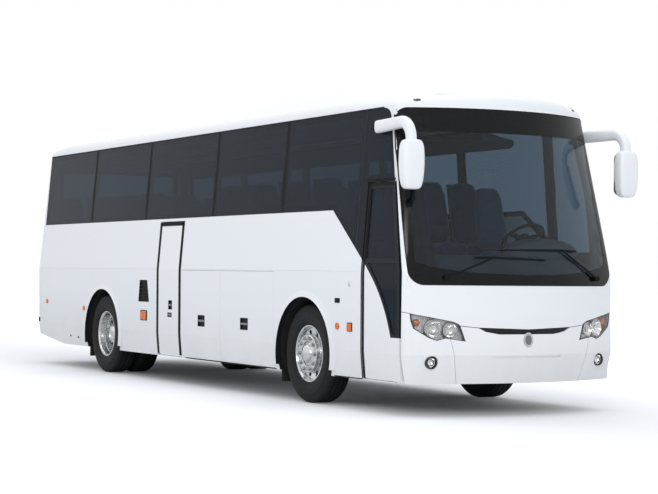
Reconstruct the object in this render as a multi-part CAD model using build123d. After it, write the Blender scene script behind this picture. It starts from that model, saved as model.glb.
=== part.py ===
"""A two-axle touring coach, about 10.6 m long, with an outward swinging front and mid door.

Millimetres.  +X is forward, +Y is the coach's left, +Z is up.  The origin is on the
ground below the middle of the coach.  The driver sits on the left, the doors are on
the right, and luggage flaps open on both sides between the axles.
"""
import os
from math import atan2, cos, degrees, pi, sin, sqrt

from build123d import *

# ---------------------------------------------------------------- driving dimensions
BODY_LENGTH = 10600
NOSE = BODY_LENGTH / 2
FRONT_OVERHANG = 2280
WHEELBASE = 5660
FRONT_AXLE = NOSE - FRONT_OVERHANG
REAR_AXLE = FRONT_AXLE - WHEELBASE

SKIRT_Z = 320
KNEE_Z = 600
BELT_Z = 1390
SILL_Z = 2020
CANT_Z = 3033

WALL = 45
GLASS = 10
GAP = 6

TYRE_RADIUS = 520
TYRE_WIDTH = 290
RIM_RADIUS = 300
FRONT_TRACK = 2140
DUAL_SPACING = 330
REAR_TRACK = 1830
ARCH_RADIUS = 597
FLARE_WIDTH = 72
FLARE_FOOT = SKIRT_Z + 60

FLOOR_Z = 1130
FLOOR_THICK = 40
DRIVER_FLOOR_Z = 800
BAY_FLOOR_Z = 380

# Horizontal sections of the body, from the skirt up to the cant rail.
# columns: height, half width, front x, front arc radius, front corner radius, rear x
BODY_LEVELS = [
    (SKIRT_Z, 1235, 5215, 3200, 85, -5270),
    (KNEE_Z, 1260, 5300, 3000, 85, -5300),
    (BELT_Z, 1265, 5280, 2900, 85, -5295),
    (CANT_Z, 1125, 5010, 1900, 120, -5190),
]
REAR_RADIUS = 14000
REAR_CORNER = 150

# The roof is crowned across the coach and falls away over both ends.
CREST_Z = 3235
CROWN_RADIUS = 7000
ROOF_ROUND = 110
ROOF_FALL_FRONT = 3000
ROOF_FALL_REAR = -4300
ROOF_FALL = 85

# Where the side wall stops and the front and rear end panels start.
FRONT_SPLIT = 4968
PILLAR_LEAN = 0.25
REAR_SPLIT = -5040

# Doors on the right side: columns rear x, front x, top z
FRONT_DOOR = (4228, 4956, 2280)
MID_DOOR = (-837, -103, 1985)
DOOR_GAP = 14
DOOR_BOTTOM = 330

# Luggage flaps between the axles.
# columns: name, side (-1 right, +1 left), rear x, front x, middle of the handle
FLAPS = [
    ("luggage_flap_right_rear", -1, -55, 997, 485),
    ("luggage_flap_right_front", -1, 1003, 2338, 1620),
    ("luggage_flap_left_rear", 1, -55, 997, 485),
    ("luggage_flap_left_front", 1, 1003, 2338, 1620),
]
FLAP_TOP = 1382
FLAP_BOTTOM = 334

# Side panes, the same on both sides: columns rear x, front x
PANES = [(-5020, -3212), (-3188, -1342), (-1318, 658), (682, 2398), (2422, 4060)]
PILLAR_EDGE = 55
PANE_HEAD = 3018


# ---------------------------------------------------------------- shape helpers
def block(x0, x1, y0, y1, z0, z1):
    """A box between two corners."""
    centre = Pos((x0 + x1) / 2, (y0 + y1) / 2, (z0 + z1) / 2)
    return centre * Box(x1 - x0, y1 - y0, z1 - z0)


def slab_xz(points, y0, y1):
    """A prism whose outline lies in the XZ plane, from y0 to y1."""
    outline = Face(Wire.make_polygon([(x, y0, z) for x, z in points], close=True))
    return extrude(outline, amount=y1 - y0, dir=(0, 1, 0))


def slab_yz(points, x0, x1):
    """A prism whose outline lies in the YZ plane, from x0 to x1."""
    outline = Face(Wire.make_polygon([(x0, y, z) for y, z in points], close=True))
    return extrude(outline, amount=x1 - x0, dir=(1, 0, 0))


def rod(start, end, radius):
    """A round bar between two points."""
    direction = Vector(*end) - Vector(*start)
    return Solid.make_cylinder(radius, direction.length, Plane(start, z_dir=direction))


def ring_y(x, z, y0, y1, outer, inner=0):
    """A disc or ring about an axis along Y."""
    solid = Solid.make_cylinder(outer, y1 - y0, Plane((x, y0, z), z_dir=(0, 1, 0)))
    if inner:
        solid = solid - Solid.make_cylinder(inner, y1 - y0, Plane((x, y0, z), z_dir=(0, 1, 0)))
    return solid


def to_left(shape):
    """The same piece on the coach's other side."""
    return mirror(shape, about=Plane.XZ)


def joined(shapes):
    """One compound or solid from a list of shapes."""
    result = shapes[0]
    for shape in shapes[1:]:
        result = result + shape
    return result


def save(shape, name):
    export_step(shape, f"parts/{name}.step")


# ---------------------------------------------------------------- body surface
def end_corner(tip, radius, corner_radius, half_width):
    """Centre x of a corner arc that runs from an end's bow into the straight side,
    and the point where it leaves the bow."""
    bow_centre = tip - radius
    reach = radius - corner_radius
    centre_x = bow_centre + sqrt(reach**2 - (half_width - corner_radius) ** 2)
    stretch = radius / reach
    touch = (bow_centre + (centre_x - bow_centre) * stretch, (half_width - corner_radius) * stretch)
    return centre_x, touch


def corner_middle(centre_x, corner_radius, half_width, touch):
    """The point halfway round a corner arc, between the bow and the side."""
    start = atan2(touch[1] - (half_width - corner_radius), touch[0] - centre_x)
    middle = (start + pi / 2) / 2
    return (centre_x + corner_radius * cos(middle), half_width - corner_radius + corner_radius * sin(middle))


def plan_section(level, inset):
    """The body's outline at one height, a face of straight sides, bowed ends and arcs."""
    z, half_width, front, front_radius, front_corner, rear = level
    width, tip, bow = half_width - inset, front - inset, front_radius - inset
    nose_corner = front_corner - inset
    tail, tail_bow, tail_corner = -rear - inset, REAR_RADIUS - inset, REAR_CORNER - inset
    nose_x, nose_touch = end_corner(tip, bow, nose_corner, width)
    tail_x, tail_touch = end_corner(tail, tail_bow, tail_corner, width)
    nose_mid = corner_middle(nose_x, nose_corner, width, nose_touch)
    tail_mid = corner_middle(tail_x, tail_corner, width, tail_touch)

    def at(x, y):
        return (x, y, z)

    def arc(start, middle, end):
        return Edge.make_three_point_arc(at(*start), at(*middle), at(*end))

    def flip(point):
        return (point[0], -point[1])

    def back(point):
        return (-point[0], point[1])

    tail_touch, tail_mid = back(tail_touch), back(tail_mid)
    edges = [
        arc(flip(nose_touch), (tip, 0), nose_touch),
        arc(nose_touch, nose_mid, (nose_x, width)),
        Edge.make_line(at(nose_x, width), at(-tail_x, width)),
        arc((-tail_x, width), tail_mid, tail_touch),
        arc(tail_touch, (-tail, 0), flip(tail_touch)),
        arc(flip(tail_touch), flip(tail_mid), (-tail_x, -width)),
        Edge.make_line(at(-tail_x, -width), at(nose_x, -width)),
        arc((nose_x, -width), flip(nose_mid), flip(nose_touch)),
    ]
    return Face(Wire(edges))


def body_solid(inset):
    """The body up to the cant rail, with its surface moved in by a wall's thickness."""
    return loft([plan_section(level, inset) for level in BODY_LEVELS], ruled=True)


def crown_barrel(drop):
    """A long barrel whose top is the roof's crown: round across the coach, straight
    along its middle, and falling away along an arc at each end."""
    top = CROWN_RADIUS - drop
    axis_z = CREST_Z - CROWN_RADIUS
    half_front, half_rear = 5100, -5400
    front_end = (half_front, 0, axis_z + top - ROOF_FALL)
    rear_end = (half_rear, 0, axis_z + top - ROOF_FALL)
    knee_front, knee_rear = (ROOF_FALL_FRONT, 0, axis_z + top), (ROOF_FALL_REAR, 0, axis_z + top)
    edges = [
        Edge.make_line((half_rear, 0, axis_z), rear_end),
        Edge.make_tangent_arc(knee_rear, (-1, 0, 0), rear_end),
        Edge.make_line(knee_rear, knee_front),
        Edge.make_tangent_arc(knee_front, (1, 0, 0), front_end),
        Edge.make_line(front_end, (half_front, 0, axis_z)),
        Edge.make_line((half_front, 0, axis_z), (half_rear, 0, axis_z)),
    ]
    return revolve(Face(Wire(edges)), Axis((0, 0, axis_z), (1, 0, 0)), 360)


def roof_dome(inset, drop, rounding):
    """The roof above the cant rail: the plan outline under the crown, edges rounded."""
    dome = extrude(plan_section(BODY_LEVELS[-1], inset), amount=300) & crown_barrel(drop)
    rim_edges = [
        edge
        for edge in dome.edges()
        if edge.bounding_box().min.Z > CANT_Z + 1 and not edge.is_interior
    ]
    rim_edges = [edge for edge in rim_edges if on_outline(edge, inset)]
    return fillet(rim_edges, rounding)


def on_outline(edge, inset):
    """Whether an edge's middle lies on the roof's plan outline."""
    outline = plan_section(BODY_LEVELS[-1], inset).outer_wire()
    middle = edge @ 0.5
    return outline.distance_to(Vector(middle.X, middle.Y, CANT_Z)) < 0.5


def side_sheet(outer_inset, inner_inset, x0, x1):
    """The right side's straight wall between two insets from the outer surface."""
    outer = [(outer_inset - level[1], level[0]) for level in BODY_LEVELS]
    inner = [(inner_inset - level[1], level[0]) for level in BODY_LEVELS]
    return slab_yz(outer + inner[::-1], x0, x1)


FAR = 7000
FRONT_HALF = block(4300, FAR, -FAR, FAR, 0, FAR)
REAR_HALF = block(-FAR, REAR_SPLIT - GAP, -FAR, FAR, 0, FAR)
OUTER = body_solid(0)
FRONT_OUTER = OUTER & FRONT_HALF
REAR_OUTER = OUTER & REAR_HALF


def front_skin(outer_inset, inner_inset):
    """The nose's skin between two insets."""
    skin = FRONT_OUTER if outer_inset == 0 else body_solid(outer_inset) & FRONT_HALF
    return skin - body_solid(inner_inset)


def rear_skin(outer_inset, inner_inset):
    """The tail's skin between two insets."""
    skin = REAR_OUTER if outer_inset == 0 else body_solid(outer_inset) & REAR_HALF
    return skin - body_solid(inner_inset)


def pillar_x(z, offset=0.0):
    """The line where the side wall meets the leaning front pillar."""
    return FRONT_SPLIT + offset - PILLAR_LEAN * max(z - BELT_Z, 0)


def front_zone(offset=0.0):
    """Everything ahead of the front pillar line."""
    outline = [
        (pillar_x(0, offset), 0),
        (pillar_x(0, offset), BELT_Z),
        (pillar_x(CANT_Z, offset), CANT_Z),
        (FAR, CANT_Z),
        (FAR, 0),
    ]
    return slab_xz(outline, -FAR, FAR)


# ---------------------------------------------------------------- openings in the sides
def side_slab(points):
    """A prism through the right side wall."""
    return slab_xz(points, -1600, -900)


DIAGONAL_TOP = (3543, SILL_Z)
DIAGONAL_SLOPE = 0.755


def diagonal_z(x, rise=0.0):
    """The slanting lower edge of the dark glass behind the front door."""
    return SILL_Z - DIAGONAL_SLOPE * (x - DIAGONAL_TOP[0]) + rise


def pane_outline(index, shrink):
    """One side pane seen from the side; the front one follows the diagonal edge."""
    rear, front = PANES[index]
    rear, front = rear + shrink, front - shrink
    low, high = SILL_Z + shrink, PANE_HEAD - shrink
    if index < len(PANES) - 1:
        return [(rear, low), (front, low), (front, high), (rear, high)]
    knee = DIAGONAL_TOP[0]
    return [
        (rear, low),
        (knee, low),
        (front, diagonal_z(front, shrink * 1.4)),
        (front, high),
        (rear, high),
    ]


def quarter_outline(side, shrink):
    """The pane behind and above the front door, or the driver's window on the left."""
    rear = 4084 + shrink
    low = (FRONT_DOOR[2] + 22 if side < 0 else 1560) + shrink
    high = PANE_HEAD - shrink
    front_low = pillar_x(low, -40 - shrink)
    corner = pillar_x(high - 130, -40 - shrink)
    foot = [(rear, low)]
    if side < 0:
        post, rise = FRONT_DOOR[0] - 14 - shrink, shrink * 1.4
        foot = [(rear, diagonal_z(rear, rise)), (post, diagonal_z(post, rise)), (post, low)]
    head = [(corner, high - 130), (corner - 50, high - 30), (corner - 140, high), (rear, high)]
    return foot + [(front_low, low)] + head


def side_glass(side):
    """The flush panes of one side, cut from the body's outer skin."""
    skin = side_sheet(0, GLASS, REAR_SPLIT, FRONT_SPLIT)
    outlines = [pane_outline(index, 0) for index in range(len(PANES))] + [quarter_outline(side, 0)]
    glass = joined([skin & side_slab(outline) for outline in outlines])
    return glass if side < 0 else to_left(glass)


def door_outline(rear, front, top, gap, leaning):
    """A door leaf, or its doorway with no gap, seen from the side."""
    low = DOOR_BOTTOM + gap
    lean = PILLAR_LEAN * (top - gap - BELT_Z) if leaning else 0
    return [
        (rear + gap, low),
        (front - gap, low),
        (front - gap, BELT_Z),
        (front - gap - lean, top - gap),
        (rear + gap, top - gap),
    ]


def skirt_trim():
    """What is cut away below the rising rear skirt."""
    start, rise = -4129, 0.1136
    outline = [(start, 200), (start, SKIRT_Z), (-FAR, SKIRT_Z + rise * (start + FAR)), (-FAR, 200)]
    return slab_xz(outline, -FAR, FAR)


def flap_outline(rear, front, gap):
    return [
        (rear - gap, FLAP_BOTTOM - gap),
        (front + gap, FLAP_BOTTOM - gap),
        (front + gap, FLAP_TOP + gap),
        (rear - gap, FLAP_TOP + gap),
    ]


# ---------------------------------------------------------------- body panels
SEAM_Z = 1394
POCKET = 14
INLET_DEPTH = 18
INLET_SLATS = 6

# The louvred air inlet beside the mid door, seen from the side
INLET = [(-1404, 982), (-1076, 982), (-1135, 1250), (-1360, 1250)]


def relief(outer_inset, inner_inset):
    """The right side's skin between two insets, for recesses and what stands in them."""
    return side_sheet(outer_inset, inner_inset, REAR_SPLIT, FRONT_SPLIT)


def rectangle(x0, x1, z0, z1):
    return [(x0, z0), (x1, z0), (x1, z1), (x0, z1)]


def arch_flare(axle_x):
    """The flare round a wheel arch, proud at the opening and faired into the wall."""
    rim_y, wall_inside, faired_y = -1277, -1236, -1264
    outer = ARCH_RADIUS + FLARE_WIDTH
    profile = [(wall_inside, ARCH_RADIUS), (rim_y, ARCH_RADIUS), (faired_y, outer), (wall_inside, outer)]
    points = [(axle_x, y, TYRE_RADIUS + radius) for y, radius in profile]
    axis = Axis((axle_x, 0, TYRE_RADIUS), (0, 1, 0))
    ring = revolve(Face(Wire.make_polygon(points, close=True)), axis, 360)
    return ring & block(-FAR, FAR, -FAR, 0, FLARE_FOOT, FAR)


def with_inlet(wall):
    """The wall with its air inlet: a recess with slats across it."""
    wall = wall - (relief(-5, INLET_DEPTH) & side_slab(INLET))
    slats = relief(2, INLET_DEPTH) & side_slab(INLET)
    low, high = INLET[0][1], INLET[2][1]
    pitch = (high - low) / INLET_SLATS
    for row in range(INLET_SLATS):
        middle = low + pitch * (row + 0.5)
        wall = wall + (slats & block(-FAR, FAR, -FAR, 0, middle - 7, middle + 7))
    return wall


def with_handle(leaf, x0, x1, z0, z1):
    """A leaf with a shallow pocket and the pull bar in it."""
    leaf = leaf - (relief(-5, POCKET) & side_slab(rectangle(x0, x1, z0, z1)))
    middle, half_bar, side_gap = (z0 + z1) / 2, 11, 14
    bar = rectangle(x0 + side_gap, x1 - side_gap, middle - half_bar, middle + half_bar)
    return leaf + (relief(3, POCKET) & side_slab(bar))


def side_wall(side):
    """One side: skirt, belt panels, window posts and cant rail in one pressing, with
    the doorways, flap openings, wheel arches and window openings cut."""
    wall = side_sheet(0, WALL, REAR_SPLIT, FRONT_SPLIT) - front_zone()
    rebate = side_sheet(-5, GLASS, REAR_SPLIT, FRONT_SPLIT)
    outlines = [(pane_outline(index, -1), pane_outline(index, PILLAR_EDGE)) for index in range(len(PANES))]
    outlines.append((quarter_outline(side, -1), quarter_outline(side, PILLAR_EDGE)))
    for pane, opening in outlines:
        wall = wall - (rebate & side_slab(pane)) - side_slab(opening)
    wall = wall - (relief(-5, 5) & side_slab(rectangle(-FAR, FAR, SEAM_Z - 3, SEAM_Z + 3)))
    for axle_x in (FRONT_AXLE, REAR_AXLE):
        wall = wall - ring_y(axle_x, TYRE_RADIUS, -FAR, 0, ARCH_RADIUS) + arch_flare(axle_x)
    for name, flap_side, rear, front, _ in FLAPS:
        if flap_side == side:
            wall = wall - side_slab(flap_outline(rear, front, 3))
    if side < 0:
        wall = wall - side_slab(door_outline(*FRONT_DOOR, 0, True))
        wall = wall - side_slab([(4800, 0), (5100, 0), (5100, 2280), (4800 - 190, 2280), (4800, 1500)])
        wall = wall - side_slab(door_outline(*MID_DOOR, 0, False))
        wall = with_inlet(wall)
    wall = wall - skirt_trim()
    return wall if side < 0 else to_left(wall)


def roof():
    """The domed roof with two low hatches."""
    dome = roof_dome(0, 0, ROOF_ROUND) - roof_dome(WALL, WALL, ROOF_ROUND - WALL)
    for hatch_x in (-3500, 3900):
        lid = block(hatch_x - 320, hatch_x + 320, -300, 300, 3200, 3252)
        lid = chamfer(lid.edges().group_by(Axis.Z)[-1], 20)
        dome = dome + (lid - roof_dome(WALL, WALL, ROOF_ROUND - WALL))
    return dome


WINDSCREEN_LOW = 1272
WINDSCREEN_HIGH = 3000
SCREEN_ROUND = 130
PILLAR_STRIP = 38
SCREEN_FLANGE = 70


def screen_zone(shrink):
    """The windscreen's place: between the painted pillar strips, with round corners."""
    low, high = WINDSCREEN_LOW + shrink, WINDSCREEN_HIGH - shrink
    foot, head, start = 1260 - shrink, 1150 - shrink, 4300
    corners = [(start, -foot, low), (start, foot, low), (start, head, high), (start, -head, high)]
    outline = Face(Wire.make_polygon(corners, close=True))
    outline = outline.fillet_2d(SCREEN_ROUND, outline.vertices())
    zone = extrude(outline, amount=FAR - start, dir=(1, 0, 0))
    return zone & front_zone(GAP + PILLAR_STRIP + shrink)


def windscreen():
    return front_skin(0, GLASS) & screen_zone(0)


BUMPER_TOP = 866
SLIT_DIP = 20
SLIT_END = 560
SEAM_TOP_Y = 832
SEAM_FOOT_Y = 728
FOG_LAMP = (1000, 530, 60)


def fog_barrel(side, radius):
    y, z, _ = FOG_LAMP
    return Solid.make_cylinder(radius, 900, Plane((4700, side * y, z), z_dir=(1, 0, 0)))


# The seam between mask and bumper, which dips over the slit and climbs along the
# headlamp: columns y, height above the bumper's top
SEAM = [(0, -SLIT_DIP), (SLIT_END, 0), (735, 18), (1320, 163)]


def below_seam(offset):
    """Everything below the seam between mask and bumper."""
    right = [(-y, BUMPER_TOP + rise + offset) for y, rise in SEAM[:0:-1]]
    left = [(y, BUMPER_TOP + rise + offset) for y, rise in SEAM]
    outline = [(-SEAM[-1][0], 0)] + right + left + [(SEAM[-1][0], 0)]
    return slab_yz(outline, 4300, FAR)


def front_panel():
    """The front mask: headlamp band, windscreen frame and both front pillars."""
    mask = front_skin(0, WALL) & front_zone(GAP)
    mask = mask - below_seam(0)
    mask = mask - (front_skin(-5, GLASS) & screen_zone(-1))
    mask = mask - screen_zone(SCREEN_FLANGE)
    return mask - headlamp_block(3)


def front_bumper():
    """The bumper: a middle part and two corners, with slim joints between them."""
    bumper = front_skin(0, WALL) & front_zone(GAP) & below_seam(-GAP)
    groove = front_skin(-5, 12)
    ledge = slab_yz([(-420, 585), (420, 585), (380, 566), (-380, 566)], 5100, FAR)
    bumper = bumper - headlamp_block(3) - slit_block(0) - boss(1) - (ledge & groove)
    for side in (-1, 1):
        top, foot = side * SEAM_TOP_Y, side * SEAM_FOOT_Y
        seam = [(foot - 3, SKIRT_Z - 10), (foot + 3, SKIRT_Z - 10), (top + 3, 770), (top - 3, 770)]
        seam = slab_yz(seam, 4900, FAR)
        bumper = bumper - (seam & groove) - fog_barrel(side, FOG_LAMP[2] + 3)
    return bumper


# The headlamp seen from the front: columns y, z, and the way each corner moves outward
HEADLAMP = [
    (1201, 994, 1, 1),
    (1034, 964, 0, 1),
    (794, 917, 0, 1),
    (735, 880, -1, 1),
    (684, 735, -1, -1),
    (873, 764, 0, -1),
    (961, 741, 0, -1),
    (1035, 768, 0, -1),
    (1171, 857, 1, -1),
    (1195, 930, 1, 0),
]


def headlamp_block(grow):
    """The swept outline of both headlamps, seen from the front."""
    outline = [(y + grow * out_y, z + grow * out_z) for y, z, out_y, out_z in HEADLAMP]
    lamp = slab_yz(outline, 5000 - 12 * grow, FAR)
    return lamp + to_left(lamp)


def front_lamps():
    """Headlamps and round fog lamps, a little deeper than the panel they sit in."""
    lamps = [front_skin(0, 70) & headlamp_block(0)]
    fog_skin = front_skin(4, 60)
    for side in (-1, 1):
        lamps.append(fog_skin & fog_barrel(side, FOG_LAMP[2]))
    return joined(lamps)


def slit_block(shrink):
    """The narrow air slit between the headlamps, just below the seam."""
    top = BUMPER_TOP - shrink
    outline = [
        (3 * shrink - SLIT_END, top),
        (0, top - SLIT_DIP),
        (SLIT_END - 3 * shrink, top),
        (474 - shrink, 823 + shrink),
        (324, 798 + shrink),
        (-324, 798 + shrink),
        (shrink - 474, 823 + shrink),
    ]
    return slab_yz(outline, 4900, FAR)


def boss(grow):
    """The plain upright oval boss below the middle of the slit."""
    start = 5220
    oval = Plane((start, 0, 743), x_dir=(0, 1, 0), z_dir=(1, 0, 0)) * Ellipse(53 + grow, 68 + grow)
    return extrude(oval.face(), amount=NOSE - start)


def front_grille():
    """The slit's dark back with three bars, and a plain oval boss on it."""
    slit = slit_block(1)
    grille = front_skin(24, 40) & slit
    for height in (812, 824, 836):
        bar = front_skin(6, 30) & block(4900, FAR, -440, 440, height - 3, height + 3)
        grille = grille + (bar & slit)
    return grille + (boss(0) & front_skin(-3, 40))


# ---------------------------------------------------------------- rear end
LID = (-800, 800, 800, 1640)
REAR_WINDOW = (950, 2060, 2860)
PLATE = (262, 560, 682)


def rear_panel():
    """The rear end: corner posts, window frame and bumper, open for the engine lid."""
    panel = rear_skin(0, WALL)
    y0, y1, z0, z1 = LID
    panel = panel - block(-FAR, -4900, y0 - 5, y1 + 5, z0 - 5, z1 + 5)
    half, low, high = REAR_WINDOW
    frame = block(-FAR, -4900, -half - 1, half + 1, low - 1, high + 1)
    panel = panel - (rear_skin(-5, GLASS) & frame)
    panel = panel - block(-FAR, -4900, 55 - half, half - 55, low + 55, high - 55)
    half, low, high = PLATE
    panel = panel - (rear_skin(-5, 20) & block(-FAR, -4900, -half, half, low, high))
    return panel - tail_block(2) - skirt_trim()


def rear_window():
    half, low, high = REAR_WINDOW
    return rear_skin(0, GLASS) & block(-FAR, -4900, -half, half, low, high)


def engine_lid():
    """The lid over the engine, with louvres, mitred along its hinge at the top."""
    y0, y1, z0, z1 = LID
    lid = rear_skin(0, WALL) & block(-FAR, -4900, y0, y1, z0, z1)
    for row in range(7):
        z = 900 + 60 * row
        lid = lid - block(-FAR, -4900, -560, 560, z, z + 26)
    mitre = slab_xz([(-5290, z1), (-5200, z1), (-5200, z1 - 90)], -FAR, FAR)
    return lid - mitre


def tail_block(grow):
    """The upright lamp clusters at both rear corners."""
    cluster = block(-FAR, -5060, -1190 - grow, -1010 + grow, 820 - grow, 1360 + grow)
    return cluster + to_left(cluster)


def tail_lamps():
    """Three stacked lenses a side."""
    skin = rear_skin(0, 60) & tail_block(0)
    lamps = []
    for low, high in ((820, 990), (998, 1180), (1188, 1360)):
        lamps.append(skin & block(-FAR, 0, -FAR, FAR, low, high))
    return joined(lamps)


# Small side markers: columns x, z, length, height
MARKERS = [(-1233, 806, 175, 98), (3999, 833, 82, 74)]

# Round side markers: columns x, z, radius
ROUND_MARKERS = [(3753, 835, 33), (-4770, 911, 30), (-3313, 845, 30)]

# The roof markers: middle x, middle y, length, width, height above the roof
ROOF_MARKER = (4690, 930, 70, 74, 6)


def marker_lamps():
    """Amber side markers and the small flush roof markers, seated on the skin."""
    solid_side = relief(0, 300)
    face_y = -1276
    lamps = []
    for x, z, length, height in MARKERS:
        lamp = block(x - length / 2, x + length / 2, face_y, -1240, z - height / 2, z + height / 2)
        lamps.append(lamp - solid_side)
    for x, z, radius in ROUND_MARKERS:
        lamps.append(ring_y(x, z, face_y, -1240, radius) - solid_side)
    x, y, length, width, rise = ROOF_MARKER
    shell = roof_dome(-rise, -rise, ROOF_ROUND + rise) - roof_dome(0, 0, ROOF_ROUND)
    lamps.append(shell & block(x - length / 2, x + length / 2, -y - width / 2, width / 2 - y, 3060, FAR))
    right = joined(lamps)
    return right + to_left(right)


# ---------------------------------------------------------------- on the roof and outside
def roof_air_unit():
    """The low air-conditioning housing, tapered all round, with two fan openings."""
    base = Plane.XY.offset(3190) * RectangleRounded(2600, 1640, 180)
    top = Plane.XY.offset(3345) * RectangleRounded(2200, 1240, 160)
    unit = loft([base.face(), top.face()], ruled=True)
    for fan_x in (-500, 500):
        unit = unit - Pos(fan_x, 0, 3345) * Cylinder(260, 60)
        unit = unit + Pos(fan_x, 0, 3325) * Cylinder(90, 40)
    return (Pos(1720, 0, 0) * unit) - roof_dome(0, 0, ROOF_ROUND)


MIRROR_X = 5177
MIRROR_Y = 1290
MIRROR_HEAD = (150, 240, 473, 2412)
MIRROR_BAR = (4270, 1205, 2832)
MIRROR_BEND = 170


def mirror_arm():
    """The left mirror's arm: an oval bar along the cant that bends down into the head."""
    x, y, z = MIRROR_BAR
    half_width, half_height = 45, 65
    length = sqrt((MIRROR_X - x) ** 2 + (MIRROR_Y - y) ** 2)
    straight = (length - MIRROR_BEND, 0, 0)
    bend_end = (length, 0, -MIRROR_BEND)
    path = Wire([
        Edge.make_line((0, 0, 0), straight),
        Edge.make_tangent_arc(straight, (1, 0, 0), bend_end),
        Edge.make_line(bend_end, (length, 0, -MIRROR_BEND - 25)),
    ])
    arm = sweep((Plane.YZ * Ellipse(half_width, half_height)).face(), path)
    return Pos(x, y, z) * Rot(0, 0, degrees(atan2(MIRROR_Y - y, MIRROR_X - x))) * arm


def mirror_pair():
    """Both door mirrors: an oval arm held on the front pillar, and a soft-edged head."""
    depth, width, height, middle_z = MIRROR_HEAD
    head = Pos(MIRROR_X, MIRROR_Y, middle_z) * Box(depth, width, height)
    head = fillet(head.edges().filter_by(Axis.Z), 60)
    head = fillet(head.edges().group_by(Axis.Z)[-1] + head.edges().group_by(Axis.Z)[0], 45)
    bar_z = MIRROR_BAR[2]
    foot_x = pillar_x(bar_z) + 60
    foot = block(foot_x - 45, foot_x + 45, 1090, 1235, bar_z - 28, bar_z + 28)
    unit = mirror_arm() + (foot - FRONT_OUTER) + head
    return unit + to_left(unit)


def wipers():
    """Two wiper arms with blades, lying a little in front of the screen."""
    # columns: pivot y, arm tip y, arm tip z, blade start y, blade end y, blade z start, blade z end
    rows = [(-883, -385, 1544, -580, 213, 1541, 1523), (939, 441, 1627, -309, 645, 1616, 1615)]
    pieces = []
    for pivot_y, tip_y, tip_z, blade_a, blade_b, za, zb in rows:
        foot_x, foot_z = screen_x(pivot_y, 1345), 1345
        tip = (screen_x(tip_y, tip_z) + 30, tip_y, tip_z)
        piece = rod((foot_x - 6, pivot_y, foot_z), (foot_x + 44, pivot_y, foot_z), 26)
        piece = piece + rod((foot_x + 32, pivot_y, foot_z), tip, 11)
        piece = piece + rod((screen_x(blade_a, za) + 22, blade_a, za), tip, 9)
        piece = piece + rod(tip, (screen_x(blade_b, zb) + 22, blade_b, zb), 9)
        pieces.append(piece)
    return (pieces[0] + pieces[1]) - FRONT_OUTER


def screen_x(y, z):
    """The x of the windscreen's outer face at a width and height."""
    share = (z - BELT_Z) / (CANT_Z - BELT_Z)
    low, high = BODY_LEVELS[2], BODY_LEVELS[3]
    tip = low[2] + (high[2] - low[2]) * share
    radius = low[3] + (high[3] - low[3]) * share
    return tip - radius + sqrt(radius**2 - y**2)


# ---------------------------------------------------------------- frame, floor and bay
RAIL_Z = (600, 780)
RAIL_Y = (385, 455)
RAIL_SKIN = 8


def chassis_frame():
    """Two welded ladder frames of channel rails, with posts up to the floor: one from
    the nose to the bay, with the towing eye, and one from the bay back to the engine."""
    low, high = RAIL_Z
    inner, outer = RAIL_Y
    web = outer - RAIL_SKIN
    frames = []
    # columns: rear x, front x, rear end of the cross members, spacing
    for rear, front, ties_from, spacing in ((2405, 4900, 2480, 620), (-5000, -1000, -3700, 680)):
        pieces = []
        for side in (-1, 1):
            rail = block(rear, front, *sorted((side * inner, side * outer)), low, high)
            hollow = block(rear - 1, front + 1, *sorted((side * (inner - 1), side * web)),
                           low + RAIL_SKIN, high - RAIL_SKIN)
            pieces.append(rail - hollow)
        x = ties_from
        while x < front:
            pieces.append(block(x - 40, x + 40, -web, web, low + 30, high - 40))
            top = FLOOR_Z if x < 3600 else DRIVER_FLOOR_Z
            for y in (-420, 420):
                pieces.append(block(x - 30, x + 30, y - 30, y + 30, high, top))
            x += spacing
        frames.append(joined(pieces))
    eye = Cylinder(46, 36) - Cylinder(21, 40)
    stem = block(-170, -30, -30, 20, -18, 18) - Cylinder(46, 40)
    lug = Pos(5050, -420, 690) * (eye + stem)
    return frames[0] + lug + frames[1]


SALOON_HALF = 1218
FLOOR_REAR = -5140


def cabin_floor():
    """The saloon floor, the driver's platform, and both stairwells."""
    top = FLOOR_Z + FLOOR_THICK
    step_z = DRIVER_FLOOR_Z + FLOOR_THICK
    saloon = block(FLOOR_REAR, 3640, -SALOON_HALF, SALOON_HALF, FLOOR_Z, top)
    saloon = saloon - block(-860, -80, -1300, -420, 0, FAR)
    saloon = saloon - block(-5400, -3940, -560, 560, 0, 1290)
    deck = block(FLOOR_REAR, -3900, -SALOON_HALF, SALOON_HALF, top, 1330)
    deck = deck - block(-5400, -3940, -560, 560, 0, 1290)
    platform = block(3600, 4860, -1150, 1150, DRIVER_FLOOR_Z, step_z)
    platform = platform - block(4180, 4900, -1300, -690, 0, FAR)
    riser = block(3600, 3640, -1212, 1212, DRIVER_FLOOR_Z, top)
    floor = ((saloon + deck) & body_solid(WALL)) + platform + riser
    stairs = [
        (-1150, 360),
        (-1150, 400),
        (-900, 400),
        (-900, 600),
        (-690, 600),
        (-690, step_z),
        (-650, DRIVER_FLOOR_Z),
        (-650, 560),
        (-860, 560),
        (-860, 360),
    ]
    floor = floor + slab_yz(stairs, 4140, 4880)
    floor = floor + block(4140, 4180, -1150, -660, 360, step_z)
    floor = floor + block(-860, -80, -1150, -420, 360, 400)
    floor = floor + block(-860, -80, -460, -420, 360, top)
    for edge in (-860, -120):
        floor = floor + block(edge, edge + 40, -1150, -420, 360, top)
    # columns: outer y, tread z
    for outer, tread in ((-900, 640), (-660, 890)):
        floor = floor + block(-820, -120, outer, -460, tread - 30, tread)
    return floor


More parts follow.
